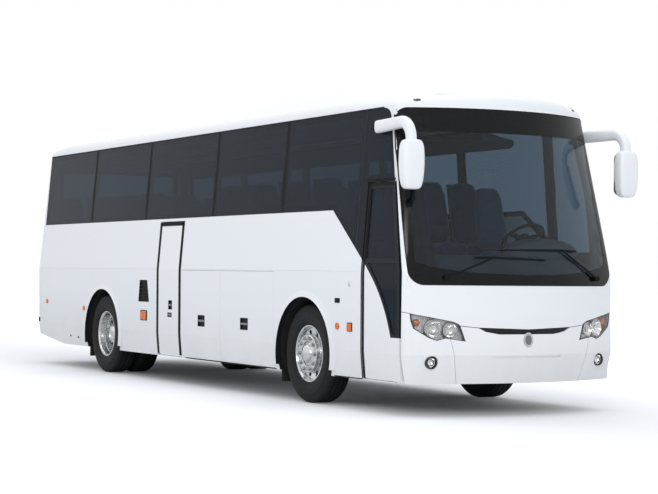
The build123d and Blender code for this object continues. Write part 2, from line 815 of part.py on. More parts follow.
def luggage_bay():
    """The open luggage bay across the coach: floor, two bulkheads and two posts."""
    bay_floor = block(-76, 2405, -1180, 1180, BAY_FLOOR_Z, BAY_FLOOR_Z + 25)
    front_wall = block(2380, 2405, -1180, 1180, BAY_FLOOR_Z, FLOOR_Z)
    rear_wall = block(-76, -56, -1180, 1180, BAY_FLOOR_Z, FLOOR_Z)
    posts = [block(985, 1015, y - 15, y + 15, BAY_FLOOR_Z, FLOOR_Z) for y in (-1150, 1150)]
    return bay_floor + front_wall + rear_wall + posts[0] + posts[1]


def wheel_arches():
    """The moulded liners over the four wheels, and the mudflaps behind them."""
    inner_wall = [(WALL - level[1], level[0]) for level in BODY_LEVELS]
    inside = slab_yz([(inner_wall[0][0], 100)] + inner_wall + [(0, CANT_Z), (0, 100)], -FAR, FAR)
    pieces = []
    for axle_x, inner in ((FRONT_AXLE, 480), (REAR_AXLE, 560)):
        hood = ring_y(axle_x, TYRE_RADIUS, -FAR, -inner, 605, 593)
        hood = hood & block(-FAR, FAR, -FAR, 0, TYRE_RADIUS + 20, FAR)
        back = ring_y(axle_x, TYRE_RADIUS, -inner, 12 - inner, 605)
        back = back & block(-FAR, FAR, -FAR, 0, 840, FAR)
        flap = block(axle_x - 612, axle_x - 600, -FAR, -860, 190, TYRE_RADIUS + 30)
        liner = (hood + back + flap) & inside
        pieces += [liner, to_left(liner)]
    return joined(pieces)


def engine_block():
    """The engine, one plain block at its real size, lengthways in the tail."""
    inner = RAIL_Y[0]
    return block(-5080, -3960, -inner, inner, 400, 1260)


# ---------------------------------------------------------------- axles and wheels
KINGPIN_Y = 940


def front_axle():
    """The dropped front beam with kingpin eyes, air springs and track rod."""
    z = TYRE_RADIUS
    beam = block(FRONT_AXLE - 60, FRONT_AXLE + 60, -700, 700, z - 150, z - 50)
    pieces = [beam]
    for side in (-1, 1):
        ramp = rod((FRONT_AXLE, side * 680, z - 100), (FRONT_AXLE, side * 880, z), 48)
        eye = Pos(FRONT_AXLE, side * KINGPIN_Y, z) * Cylinder(52, 110)
        eye = eye - Pos(FRONT_AXLE, side * KINGPIN_Y, z) * Cylinder(26, 120)
        bellows_z = (RAIL_Z[0] + z - 50) / 2
        bellows = Pos(FRONT_AXLE, side * 420, bellows_z) * Cylinder(120, RAIL_Z[0] - (z - 50))
        pieces += [ramp - Pos(FRONT_AXLE, side * KINGPIN_Y, z) * Cylinder(51, 110), eye, bellows]
    return joined(pieces)


def knuckle(side):
    """A steering knuckle: forked round the kingpin eye, with the stub axle outside."""
    z = TYRE_RADIUS
    y = -KINGPIN_Y
    fork = block(FRONT_AXLE - 55, FRONT_AXLE + 55, y - 95, y + 45, z - 105, z + 105)
    fork = fork - block(FRONT_AXLE - 90, FRONT_AXLE + 90, y - 62, y + 90, z - 61, z + 61)
    pin = Pos(FRONT_AXLE, y, z) * Cylinder(24, 200)
    stub = ring_y(FRONT_AXLE, z, -1170, y - 90, 38)
    body = fork + pin + stub
    return body if side < 0 else to_left(body)


def rear_axle():
    """The drive axle: tubes, differential bowl and air springs."""
    z = TYRE_RADIUS
    tube = ring_y(REAR_AXLE, z, -700, 700, 75)
    bowl = Pos(REAR_AXLE, 0, z) * Sphere(215)
    stub = ring_y(REAR_AXLE, z, -1000, 1000, 38)
    shaft = rod((REAR_AXLE, 0, z), (-3945, 0, 590), 45) - block(-4200, -3960, -200, 200, 0, 900)
    pieces = [tube + bowl + stub + shaft]
    for side in (-1, 1):
        for offset in (-330, 330):
            spring_x = REAR_AXLE + offset
            seat = block(*sorted((REAR_AXLE, spring_x)), side * 420 - 40, side * 420 + 40, 440, 500)
            bellows = Pos(spring_x, side * 420, (RAIL_Z[0] + 500) / 2) * Cylinder(125, RAIL_Z[0] - 500)
            pieces.append(seat + bellows)
    return joined(pieces)


def revolved(profile, x, y, side):
    """A solid of revolution about the wheel's axis; profile is (offset outward, radius)."""
    points = [(x, y - offset, TYRE_RADIUS + radius) for offset, radius in profile]
    face = Face(Wire.make_polygon(points, close=True))
    solid = revolve(face, Axis((x, y, TYRE_RADIUS), (0, 1, 0)), 360)
    return solid if side < 0 else to_left(solid)


def tyre_profile():
    """Bulging sidewalls, round shoulders and a flat tread, closed at the bead."""
    half = TYRE_WIDTH / 2
    outside = [
        (half - 75, TYRE_RADIUS),
        (half - 40, TYRE_RADIUS - 12),
        (half - 8, 455),
        (half, 400),
        (124, RIM_RADIUS + 10),
        (104, RIM_RADIUS + 2),
        (103, RIM_RADIUS - 9),
    ]
    return [(-offset, radius) for offset, radius in outside[::-1]] + outside


# The front rim's cross-section: a raised bolting disc round the hub's dome, a lower ring
# for the hand holes, and the drop centre; columns offset outward, radius
FRONT_RIM = [
    (-118, 288),
    (-118, 300),
    (-106, 300),
    (-104, 289),
    (-60, 278),
    (-30, 262),
    (30, 262),
    (60, 278),
    (104, 288),
    (106, 300),
    (118, 300),
    (118, 286),
    (100, 276),
    (66, 266),
    (58, 212),
    (96, 204),
    (104, 196),
    (104, 134),
    (128, 126),
    (144, 100),
    (154, 50),
    (156, 0),
    (134, 0),
    (134, 40),
    (6, 40),
    (6, 190),
    (42, 204),
    (44, 250),
    (-60, 262),
    (-104, 272),
]

# The outer twin rim, deeply dished: columns offset outward, radius
DISHED_RIM = [
    (-118, 288),
    (-118, 300),
    (-106, 300),
    (-104, 289),
    (-60, 278),
    (-30, 262),
    (30, 262),
    (60, 278),
    (104, 288),
    (106, 300),
    (118, 300),
    (118, 288),
    (100, 274),
    (-50, 252),
    (-46, 212),
    (-70, 200),
    (-70, 128),
    (20, 118),
    (44, 96),
    (50, 40),
    (50, 0),
    (28, 0),
    (28, 40),
    (-138, 40),
    (-138, 120),
    (-86, 128),
    (-86, 196),
    (-66, 214),
    (-74, 250),
    (-104, 268),
]


HAND_HOLES = 10


def rim(profile, hole_offset, x, y, side):
    """One rim with its ring of round hand holes, whose middle lies at an offset."""
    solid = revolved(profile, x, y, side)
    circle, radius, depth = 234, 25, 110
    for index in range(HAND_HOLES):
        turn = 2 * pi * index / HAND_HOLES
        start_y = side * (abs(y) + hole_offset - depth / 2)
        start = (x + circle * cos(turn), start_y, TYRE_RADIUS + circle * sin(turn))
        solid = solid - Solid.make_cylinder(radius, depth, Plane(start, z_dir=(0, side, 0)))
    return solid


FRONT_WHEEL_Y = -FRONT_TRACK / 2
OUTER_DUAL_Y = -(REAR_TRACK + DUAL_SPACING) / 2
INNER_DUAL_Y = -(REAR_TRACK - DUAL_SPACING) / 2


def front_rim(side):
    return rim(FRONT_RIM, 55, FRONT_AXLE, FRONT_WHEEL_Y, side)


def rear_rims(side):
    """The twin rims: the outer one dished, the inner one turned the other way."""
    outer = rim(DISHED_RIM, -55, REAR_AXLE, OUTER_DUAL_Y, side)
    inner = revolved(inner_rim_profile(), REAR_AXLE, INNER_DUAL_Y, side)
    return outer + inner


def inner_rim_profile():
    """The inner twin rim, whose disc bolts against the outer one's."""
    return [
        (-118, RIM_RADIUS - 12),
        (-118, RIM_RADIUS),
        (-106, RIM_RADIUS),
        (-104, 289),
        (-30, 262),
        (30, 262),
        (104, 288),
        (106, RIM_RADIUS),
        (118, RIM_RADIUS),
        (118, RIM_RADIUS - 12),
        (108, 262),
        (200, 240),
        (238, 205),
        (244, 180),
        (244, 128),
        (192, 120),
        (192, 90),
        (180, 90),
        (180, 150),
        (232, 175),
        (226, 200),
        (192, 228),
        (80, 252),
        (-60, 262),
        (-104, 272),
    ]


def front_tyre(side):
    return revolved(tyre_profile(), FRONT_AXLE, FRONT_WHEEL_Y, side)


def rear_tyres(side):
    outer = revolved(tyre_profile(), REAR_AXLE, OUTER_DUAL_Y, side)
    inner = revolved(tyre_profile(), REAR_AXLE, INNER_DUAL_Y, side)
    return outer + inner


# ---------------------------------------------------------------- doors and flaps
ARM_LENGTH = 440
POST_Y = -1085
FRONT_POST_X = 4850
MID_POST_X = -735
FRONT_LEAF_X = FRONT_POST_X - ARM_LENGTH
MID_LEAF_X = MID_POST_X + ARM_LENGTH
DOOR_RAIL_Z = 1500
ARM_HALF = 14

# Heights of the two arms on each door
FRONT_ARMS = (700, DOOR_RAIL_Z)
MID_ARMS = (700, 1700)


def door_arm(post_x, reach, heights):
    """A door's post and its goose-neck arms, flat bars with a boss at each bend; reach
    is -1 when the arm points rearward."""
    high = heights[1]
    body = rod((post_x, POST_Y, 402), (post_x, POST_Y, high + 150), 18)
    # columns: share of the arm's length, step inward
    neck = [(0, 0), (0.12, 150), (0.80, 110), (1, 0)]
    points = [(post_x + reach * share * ARM_LENGTH, POST_Y + step) for share, step in neck]
    for z in heights:
        for (x0, y0), (x1, y1) in zip(points, points[1:]):
            length = sqrt((x1 - x0) ** 2 + (y1 - y0) ** 2)
            turn = Rotation(0, 0, degrees(atan2(y1 - y0, x1 - x0)))
            bar = Box(length, 2 * ARM_HALF, 36)
            body = body + Pos((x0 + x1) / 2, (y0 + y1) / 2, z) * turn * bar
        for x, y in points[1:-1]:
            body = body + Pos(x, y, z) * Cylinder(ARM_HALF + 3, 40)
        body = body + Pos(*points[0], z) * Cylinder(28, 70)
        body = body + Pos(*points[-1], z) * Cylinder(20, 60)
    return body


def hinge_brackets(x, heights):
    """The lugs on a leaf's inner face that hold the arms' ends, each pair on a plate."""
    brackets = []
    for z in heights:
        face_y = wall_y(z) + WALL
        brackets.append(block(x - 40, x + 40, face_y - 2, face_y + 14, z - 60, z + 60))
        for offset in (-44, 44):
            brackets.append(block(x - 22, x + 22, face_y, POST_Y + 24, z + offset - 8, z + offset + 8))
    return joined(brackets)


def wall_y(z):
    """The right side wall's outer y at a height."""
    for lower, upper in zip(BODY_LEVELS, BODY_LEVELS[1:]):
        if z <= upper[0]:
            share = (z - lower[0]) / (upper[0] - lower[0])
            return -(lower[1] + (upper[1] - lower[1]) * share)
    return -BODY_LEVELS[-1][1]


# The front door's slanting panel: the lower edge of its dark glass, an arc of three points
DOOR_SLANT = [(4330, DOOR_RAIL_Z - 22), (4583, 1203), (4802, 790)]


def door_panes():
    """The two glazed openings of the front door: an upright one above the rail, and one
    below it whose rear edge curves down to the front."""
    rear, front, top = FRONT_DOOR
    edge = DOOR_GAP + 50
    rear_x, front_x, head = rear + edge, front - edge, top - edge
    sill = DOOR_RAIL_Z + 22
    upper = [
        (rear_x, sill),
        (front_x - PILLAR_LEAN * (sill - BELT_Z), sill),
        (front_x - PILLAR_LEAN * (head - BELT_Z), head),
        (rear_x, head),
    ]
    start_y, depth = -1600, 700
    slant = [(x, start_y, z) for x, z in DOOR_SLANT]
    top_x = front_x - PILLAR_LEAN * (DOOR_SLANT[0][1] - BELT_Z)
    corners = [slant[-1], (front_x, start_y, DOOR_SLANT[-1][1]), (front_x, start_y, BELT_Z),
               (top_x, start_y, DOOR_SLANT[0][1]), slant[0]]
    edges = [Edge.make_three_point_arc(*slant)]
    edges += [Edge.make_line(a, b) for a, b in zip(corners, corners[1:])]
    return [side_slab(upper), extrude(Face(Wire(edges)), amount=depth, dir=(0, 1, 0))]


def leaf_sheet():
    return side_sheet(0, WALL, REAR_SPLIT, FRONT_SPLIT)


def front_door():
    """The front door leaf, with two glazed openings, an inner rail and hinge lugs."""
    leaf = leaf_sheet() & side_slab(door_outline(*FRONT_DOOR, DOOR_GAP, True))
    for pane in door_panes():
        leaf = leaf - pane
    rail_y = wall_y(DOOR_RAIL_Z) + WALL
    rail = block(FRONT_DOOR[0] + 20, FRONT_DOOR[1] - 50, rail_y - 4, rail_y + 14, 1470, 1530)
    return leaf + rail + hinge_brackets(FRONT_LEAF_X, FRONT_ARMS)


def front_door_glass():
    sheet = side_sheet(10, 20, REAR_SPLIT, FRONT_SPLIT)
    upper, lower = door_panes()
    return (sheet & upper) + (sheet & lower)


def mid_door():
    """The plain mid door leaf with its two pull pockets."""
    leaf = leaf_sheet() & side_slab(door_outline(*MID_DOOR, DOOR_GAP, False))
    leaf = with_handle(leaf, -467, -363, 901, 1009)
    leaf = with_handle(leaf, -491, -372, 807, 860)
    return leaf + hinge_brackets(MID_LEAF_X, MID_ARMS)


def luggage_flap(side, rear, front, handle_x):
    """A flap with its handle, mitred at 45 degrees along its hinge so that it swings up."""
    flap = leaf_sheet() & side_slab(flap_outline(rear, front, 0))
    flap = with_handle(flap, handle_x - 91, handle_x + 91, 723, 852)
    mitre = slab_yz([(-1262, FLAP_TOP), (-1180, FLAP_TOP), (-1180, FLAP_TOP - 82)], -FAR, FAR)
    flap = flap - mitre
    return flap if side < 0 else to_left(flap)


# ---------------------------------------------------------------- inside
def dashboard():
    """The dashboard across the nose with the driver's hood, and the steering wheel."""
    board = slab_xz([(4760, 1000), (4880, 1000), (4890, 1262), (4700, 1300), (4640, 1180)], -1040, 1040)
    hood = slab_xz([(4600, 1290), (4885, 1262), (4850, 1480), (4640, 1560)], 200, 1000)
    column = rod((4760, 600, 1100), (4490, 600, 1420), 36)
    wheel_plane = Plane((4470, 600, 1444), z_dir=(-0.645, 0, 0.764))
    rim_ring = wheel_plane * Torus(225, 17)
    spoke = wheel_plane * Box(56, 440, 14)
    return board + hood + column + rim_ring + spoke


def seat_profile(x, floor_z):
    """A seat's side outline: plinth, cushion and leaning back."""
    return [
        (x - 210, floor_z),
        (x + 90, floor_z),
        (x + 90, floor_z + 280),
        (x + 240, floor_z + 290),
        (x + 250, floor_z + 420),
        (x - 130, floor_z + 400),
        (x - 290, floor_z + 1120),
        (x - 390, floor_z + 1120),
        (x - 260, floor_z + 280),
        (x - 210, floor_z + 280),
    ]


SEAT_PITCH = 790


def passenger_seats():
    """Rows of paired seats either side of the gangway."""
    seats = []
    floor_z = FLOOR_Z + FLOOR_THICK
    for row in range(9):
        x = 3300 - SEAT_PITCH * row
        for side in (-1, 1):
            blocked = side < 0 and -1080 < x < 420
            if not blocked:
                y0, y1 = sorted((side * 190, side * 1080))
                seats.append(slab_xz(seat_profile(x, floor_z), y0, y1))
    seats.append(slab_xz(seat_profile(-4560, 1330), -1080, 1080))
    return joined(seats)


def driver_seat():
    """The driver's sprung seat on its pedestal."""
    z = DRIVER_FLOOR_Z + FLOOR_THICK
    return slab_xz(
        [
            (3830, z),
            (4130, z),
            (4130, z + 360),
            (4270, z + 370),
            (4270, z + 500),
            (3900, z + 480),
            (3800, z + 1180),
            (3710, z + 1180),
            (3770, z + 360),
            (3830, z + 360),
        ],
        340,
        860,
    )


def main():
    os.makedirs("parts", exist_ok=True)
    save(side_wall(-1), "side_wall_right")
    save(side_wall(1), "side_wall_left")
    save(roof(), "roof")
    save(front_panel(), "front_panel")
    save(front_bumper(), "front_bumper")
    save(front_grille(), "front_grille")
    save(windscreen(), "windscreen")
    save(side_glass(-1), "side_windows_right")
    save(side_glass(1), "side_windows_left")
    save(rear_panel(), "rear_panel")
    save(rear_window(), "rear_window")
    save(engine_lid(), "engine_lid")
    save(front_lamps(), "front_lamps")
    save(tail_lamps(), "tail_lamps")
    save(marker_lamps(), "marker_lamps")
    save(roof_air_unit(), "roof_air_unit")
    save(mirror_pair(), "mirrors")
    save(wipers(), "wipers")
    save(chassis_frame(), "chassis_frame")
    save(cabin_floor(), "cabin_floor")
    save(luggage_bay(), "luggage_bay")
    save(wheel_arches(), "wheel_arches")
    save(engine_block(), "engine_block")
    save(front_axle(), "front_axle")
    save(rear_axle(), "rear_axle")
    for side, word in ((-1, "right"), (1, "left")):
        save(knuckle(side), f"knuckle_{word}")
        save(front_rim(side), f"front_rim_{word}")
        save(front_tyre(side), f"front_tyre_{word}")
        save(rear_rims(side), f"rear_rims_{word}")
        save(rear_tyres(side), f"rear_tyres_{word}")
    save(front_door(), "front_door")
    save(front_door_glass(), "front_door_glass")
    save(door_arm(FRONT_POST_X, -1, FRONT_ARMS), "front_door_arm")
    save(mid_door(), "mid_door")
    save(door_arm(MID_POST_X, 1, MID_ARMS), "mid_door_arm")
    for name, side, rear, front, handle_x in FLAPS:
        save(luggage_flap(side, rear, front, handle_x), name)
    save(dashboard(), "dashboard")
    save(driver_seat(), "driver_seat")
    save(passenger_seats(), "passenger_seats")


main()
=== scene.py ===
from math import cos, pi, radians, sin

import bmesh
import bpy
import numpy as np
from mathutils import Matrix, Vector


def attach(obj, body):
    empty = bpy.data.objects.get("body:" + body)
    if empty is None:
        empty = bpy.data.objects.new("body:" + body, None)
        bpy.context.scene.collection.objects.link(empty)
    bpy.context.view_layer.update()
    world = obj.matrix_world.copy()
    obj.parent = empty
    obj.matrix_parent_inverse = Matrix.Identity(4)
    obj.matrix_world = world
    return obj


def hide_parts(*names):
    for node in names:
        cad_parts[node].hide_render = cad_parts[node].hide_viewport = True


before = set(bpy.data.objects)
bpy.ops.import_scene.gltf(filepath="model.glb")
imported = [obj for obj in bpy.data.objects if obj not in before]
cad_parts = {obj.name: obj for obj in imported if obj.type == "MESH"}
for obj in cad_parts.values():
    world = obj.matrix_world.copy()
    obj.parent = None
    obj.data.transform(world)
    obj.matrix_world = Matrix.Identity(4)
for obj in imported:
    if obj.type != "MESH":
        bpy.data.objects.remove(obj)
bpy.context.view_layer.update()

# ---------------------------------------------------------------- studio
# A pale seamless floor that keeps the coach's shadow, soft overhead light and a white surround.
# The floor adds a painted glow of its own for the camera alone, more of it further out, so that it fades to
# white;
# the glow is faint in an oval round the coach, which leaves a painted shadow under and beside it.
def srgb(code):
    """Linear RGBA of a #RRGGBB value: c/12.92 up to 0.04045, ((c+0.055)/1.055)^2.4 above."""
    c = np.array([int(code[i:i + 2], 16) for i in (1, 3, 5)]) / 255
    linear = np.where(c > 0.04045, ((c + 0.055) / 1.055) ** 2.4, c / 12.92)
    return (*linear.tolist(), 1.0)


def add(tree, kind, inputs=(), **settings):
    """Adds one shader node of a kind: settings are its properties, inputs the values, sockets or nodes
    for its inputs, where a node stands for its first output."""
    node = tree.nodes.new("ShaderNode" + kind)
    for name, value in settings.items():
        setattr(node, name, value)
    for name, value in dict(inputs).items():
        value = value.outputs[0] if isinstance(value, bpy.types.Node) else value
        if isinstance(value, bpy.types.NodeSocket):
            tree.links.new(value, node.inputs[name])
        else:
            node.inputs[name].default_value = value
    return node


floor_mesh = bpy.data.meshes.new("studio_floor")
reach = 60.0
floor_mesh.from_pydata([(-reach, -reach, 0), (reach, -reach, 0), (reach, reach, 0), (-reach, reach, 0)],
                       [], [(0, 1, 2, 3)])
floor = bpy.data.objects.new("studio_floor", floor_mesh)
bpy.context.collection.objects.link(floor)
floor_paint_with_painted_glow = bpy.data.materials.new("matt_white_studio_paint_with_painted_glow")
floor_paint_with_painted_glow.use_nodes = True
tree = floor_paint_with_painted_glow.node_tree
tree.nodes.clear()
matt = add(tree, "BsdfDiffuse", {"Color": srgb("#E6E7E9")})
where = add(tree, "TexCoord").outputs["Object"]
HALF_LONG, HALF_WIDE, FADE_END = 5.2, 1.3, 5.0
oval = add(tree, "VectorMath", {0: where, 1: (1 / HALF_LONG, 1 / HALF_WIDE, 0.0)}, operation="MULTIPLY")
distance = add(tree, "VectorMath", {0: oval}, operation="LENGTH")
painted_glow_ramp = add(tree, "ValToRGB", {"Fac": add(tree, "Math", {
    0: distance.outputs["Value"], 1: FADE_END}, operation="DIVIDE").outputs[0]})
# columns: share of five coach lengths, painted glow added
for position, strength in ((0.16, 0.03), (0.26, 0.20), (0.55, 0.45), (0.80, 1.0)):
    stop = painted_glow_ramp.color_ramp.elements.new(position)
    stop.color = (strength, strength, strength, 1)
painted_glow_ramp.color_ramp.elements[0].color = (0.01, 0.01, 0.01, 1)
painted_glow_ramp.color_ramp.elements[-1].color = (1, 1, 1, 1)
# Painted glow for camera rays: faint near the coach, where it leaves a painted shadow, and white far out.
painted_glow = add(tree, "Emission", {"Color": painted_glow_ramp, "Strength": 1.0})
none = add(tree, "Emission", {"Strength": 0.0})
path = add(tree, "LightPath")
camera_only = add(tree, "MixShader", {0: path.outputs["Is Camera Ray"], 1: none, 2: painted_glow})
both = add(tree, "AddShader", {0: matt, 1: camera_only})
add(tree, "OutputMaterial", {"Surface": both})
floor_mesh.materials.append(floor_paint_with_painted_glow)

world = bpy.data.worlds.new("studio_surround")
bpy.context.scene.world = world
world.use_nodes = True
tree = world.node_tree
tree.nodes.clear()
path = add(tree, "LightPath")
seen = add(tree, "Math", {0: path.outputs["Is Camera Ray"], 1: path.outputs["Is Transmission Ray"]},
           operation="MAXIMUM")
shown = add(tree, "Math", {0: seen, 1: path.outputs["Is Glossy Ray"]}, operation="MAXIMUM")
white = add(tree, "Background", {"Color": (1, 1, 1, 1), "Strength": 1.0})
ambient = add(tree, "Background", {"Color": srgb("#EBEFF4"), "Strength": 0.86})
pick = add(tree, "MixShader", {0: shown, 1: ambient, 2: white})
add(tree, "OutputWorld", {"Surface": pick})

# columns: name, place, aimed at, size x, size y, watts
SOFTBOXES = [
    ("overhead_softbox", (1.0, -1.0, 10.0), (0.0, 0.0, 0.0), 16.0, 9.0, 330.0),
    ("front_softbox", (17.0, -9.5, 7.0), (4.0, 0.0, 1.2), 6.0, 4.0, 600.0),
]
for name, place, aim, wide, deep, watts in SOFTBOXES:
    lamp = bpy.data.lights.new(name, "AREA")
    lamp.shape, lamp.size, lamp.size_y, lamp.energy = "RECTANGLE", wide, deep, watts
    holder = bpy.data.objects.new(name, lamp)
    holder.location = place
    holder.rotation_euler = (Vector(aim) - Vector(place)).to_track_quat("-Z", "Y").to_euler()
    bpy.context.collection.objects.link(holder)

# The camera's focal length is given in pixels of a frame 658 pixels wide.
FOCAL_PX, FRAME_PX, SENSOR = 1700, 658, 36.0
CAMERA_PLACE = (18.788, -9.834, 1.398)
YAW, PITCH, ROLL = 0.5126, 0.0139, 0.0108
ahead = Vector((-cos(YAW) * cos(PITCH), sin(YAW) * cos(PITCH), sin(PITCH)))
level_right = ahead.cross(Vector((0, 0, 1))).normalized()
level_up = level_right.cross(ahead)
right = cos(ROLL) * level_right + sin(ROLL) * level_up
up = cos(ROLL) * level_up - sin(ROLL) * level_right
camera = bpy.data.objects.new("camera", bpy.data.cameras.new("camera"))
camera.data.sensor_width = SENSOR
camera.data.lens = FOCAL_PX * SENSOR / FRAME_PX
camera.data.clip_end = 300
camera.matrix_world = Matrix((
    (right.x, up.x, -ahead.x, CAMERA_PLACE[0]), (right.y, up.y, -ahead.y, CAMERA_PLACE[1]),
    (right.z, up.z, -ahead.z, CAMERA_PLACE[2]), (0, 0, 0, 1)))
bpy.context.collection.objects.link(camera)
bpy.context.scene.camera = camera
bpy.context.scene.view_settings.view_transform = "Standard"

# ---------------------------------------------------------------- ladder frames, floor and engine
# Channel rails under black chassis paint, a plywood floor under grey vinyl, and a cast iron engine.
# They show from below and through the doors, so each has its own wear.
def start_material(name, colour, **constants):
    """A material of one Principled shader; the constants go on the shader's own sockets."""
    material = bpy.data.materials.new(name)
    material.use_nodes = True
    tree = material.node_tree
    shader = tree.nodes["Principled BSDF"]
    shader.inputs["Base Color"].default_value = srgb(colour)
    for key, value in constants.items():
        shader.inputs[key.replace("_", " ")].default_value = value
    return material, tree, shader


def speckle(tree, shader, size_mm, colours, low=0.35, high=0.65, rough=None, bump_mm=0.0):
    """Cloudy variation of one real size: noise on object coordinates moves the colour from the first
    to the second value, and the roughness and the height with it."""
    where = add(tree, "TexCoord").outputs["Object"]
    noise = add(tree, "TexNoise", {"Vector": where, "Scale": 1000 / size_mm, "Detail": 4.0})
    share = add(tree, "MapRange", {"Value": noise, "From Min": low, "From Max": high})
    # Inputs 6 and 7 and output 2 of a Mix node are its two colours and its result.
    colour = add(tree, "Mix", {0: share, 6: srgb(colours[0]), 7: srgb(colours[1])}, data_type="RGBA")
    tree.links.new(colour.outputs[2], shader.inputs["Base Color"])
    if rough:
        sheen = add(tree, "MapRange", {"Value": share, "To Min": rough[0], "To Max": rough[1]})
        tree.links.new(sheen.outputs[0], shader.inputs["Roughness"])
    if bump_mm:
        relief = add(tree, "Bump", {"Height": noise, "Distance": bump_mm / 1000, "Strength": 1.0})
        tree.links.new(relief.outputs[0], shader.inputs["Normal"])
    return colour


def speckled(name, colour, size_mm, colours, low=0.35, high=0.65, rough=None, bump_mm=0.0, **constants):
    """A material with speckle's variation and nothing else on its shader."""
    material, tree, shader = start_material(name, colour, **constants)
    speckle(tree, shader, size_mm, colours, low, high, rough, bump_mm)
    return material


def dress(material, *names):
    """Gives carried-over CAD nodes one material."""
    for name in names:
        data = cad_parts[name].data
        data.materials.clear()
        data.materials.append(material)


chassis_paint = speckled(
    "black_chassis_paint_sprayed", "#1B1C1D",
    60, ("#151617", "#2B2A28"), rough=(0.42, 0.7), bump_mm=0.4, Roughness=0.5)
dress(chassis_paint, "chassis_frame", "front_door_arm", "mid_door_arm")
floor_vinyl = speckled(
    "flecked_vinyl_floor_rolled", "#4A4D52",
    9, ("#3E4146", "#63676D"), low=0.45, high=0.6, rough=(0.5, 0.65), bump_mm=0.15, Roughness=0.6)
dress(floor_vinyl, "cabin_floor")
bay_sheet = speckled(
    "mill_finished_aluminium_sheet", "#B4B7BA",
    120, ("#A5A8AB", "#C2C4C6"), rough=(0.34, 0.52), bump_mm=0.2, Metallic=1.0, Roughness=0.42)
dress(bay_sheet, "luggage_bay")
engine_iron = speckled(
    "painted_cast_iron", "#3C4144",
    25, ("#33383A", "#4B4F50"), rough=(0.5, 0.75), bump_mm=0.8, Roughness=0.6)
dress(engine_iron, "engine_block")
liner_plastic = speckled(
    "moulded_polyethylene", "#121314",
    40, ("#0E0F10", "#201F1D"), rough=(0.6, 0.85), bump_mm=0.5, Roughness=0.7)
dress(liner_plastic, "wheel_arches")

# ---------------------------------------------------------------- axles
# Forged beam, knuckles and the drive axle, under the same black paint with road dust on it.
axle_forging = speckled(
    "painted_steel_forging", "#202122",
    35, ("#17181A", "#36322D"), rough=(0.45, 0.8), bump_mm=0.6, Roughness=0.55)
dress(axle_forging, "front_axle", "rear_axle", "knuckle_right", "knuckle_left")

# ---------------------------------------------------------------- wheels
# Forged aluminium wheels, machined and polished. Ten plated nuts clamp each one, and small screws hold
# the cap of the hub.
SIDES = ((-1, "right"), (1, "left"))
WHEEL_Z = 0.520
FRONT_X, REAR_X = 3.020, -2.640
FRONT_Y, OUTER_Y, INNER_Y = 1.070, 1.080, 0.750


def surface(name, points, material, body="coach", around=(True, True), crease=35.0):
    """One mesh over grids of points [copy, u, v]: quads between neighbours, each direction joined to
    its own start where told, points that meet welded, and faces turned outward."""
    points = np.asarray(points, float)
    points = points[None] if points.ndim == 3 else points
    copies, rows, columns, _ = points.shape
    index = np.arange(rows * columns).reshape(rows, columns)
    index = np.vstack([index, index[:1]]) if around[0] else index
    index = np.hstack([index, index[:, :1]]) if around[1] else index
    quads = np.stack([index[:-1, :-1], index[1:, :-1], index[1:, 1:], index[:-1, 1:]], -1).reshape(-1, 4)
    quads = (quads[None] + (np.arange(copies) * rows * columns)[:, None, None]).reshape(-1, 4)
    mesh = bpy.data.meshes.new(name)
    mesh.from_pydata(points.reshape(-1, 3).tolist(), [], quads.tolist())
    shell = bmesh.new()
    shell.from_mesh(mesh)
    bmesh.ops.remove_doubles(shell, verts=shell.verts, dist=2e-6)
    bmesh.ops.recalc_face_normals(shell, faces=shell.faces)
    shell.to_mesh(mesh)
    shell.free()
    mesh.shade_smooth()
    mesh.set_sharp_from_angle(angle=radians(crease))
    mesh.materials.append(material)
    piece = bpy.data.objects.new(name, mesh)
    bpy.context.collection.objects.link(piece)
    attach(piece, body)
    return piece


def turned(profile, centre, axis, turns=48):
    """A lathe shape: each profile point (offset along the axis, radius) carried round the axis."""
    offset, radius = np.array(profile, float).T
    axis = np.array(axis, float) / np.linalg.norm(axis)
    across = np.cross(axis, (0.0, 0.0, 1.0) if abs(axis[2]) < 0.9 else (1.0, 0.0, 0.0))
    across = across / np.linalg.norm(across)
    angle = np.linspace(0, 2 * pi, turns, endpoint=False)[:, None, None]
    ring = across * np.cos(angle) + np.cross(axis, across) * np.sin(angle)
    return np.array(centre) + axis * offset[None, :, None] + ring * radius[None, :, None]


def round_the_hub(profile, count, circle, x, y, side, turns):
    """Copies of one small turned shape on a circle about the wheel's axis."""
    turn = 2 * pi * np.arange(count) / count
    places = [(x + circle * cos(a), side * y, WHEEL_Z + circle * sin(a)) for a in turn]
    return np.stack([turned(profile, place, (0, side, 0), turns) for place in places])


wheel_metal = speckled(
    "polished_forged_aluminium", "#D2D4D6",
    30, ("#C4C6C8", "#DEE0E1"), rough=(0.13, 0.28), bump_mm=0.05, Metallic=1.0, Roughness=0.18)
dress(wheel_metal, *[f"{kind}_{side}" for kind in ("front_rim", "rear_rims") for side in ("right", "left")])
nut_steel = speckled(
    "zinc_plated_forged_steel", "#B9BBBD",
    8, ("#A3A5A7", "#C9CBCD"), rough=(0.22, 0.42), bump_mm=0.05, Metallic=1.0, Roughness=0.3)
NUT = [(0, 0), (0, 0.026), (0.005, 0.026), (0.006, 0.0195), (0.026, 0.0195), (0.031, 0.015), (0.034, 0)]
SCREW = [(-0.002, 0), (-0.002, 0.009), (0.006, 0.009), (0.009, 0.006), (0.010, 0)]
NUT_CIRCLE = 0.1675
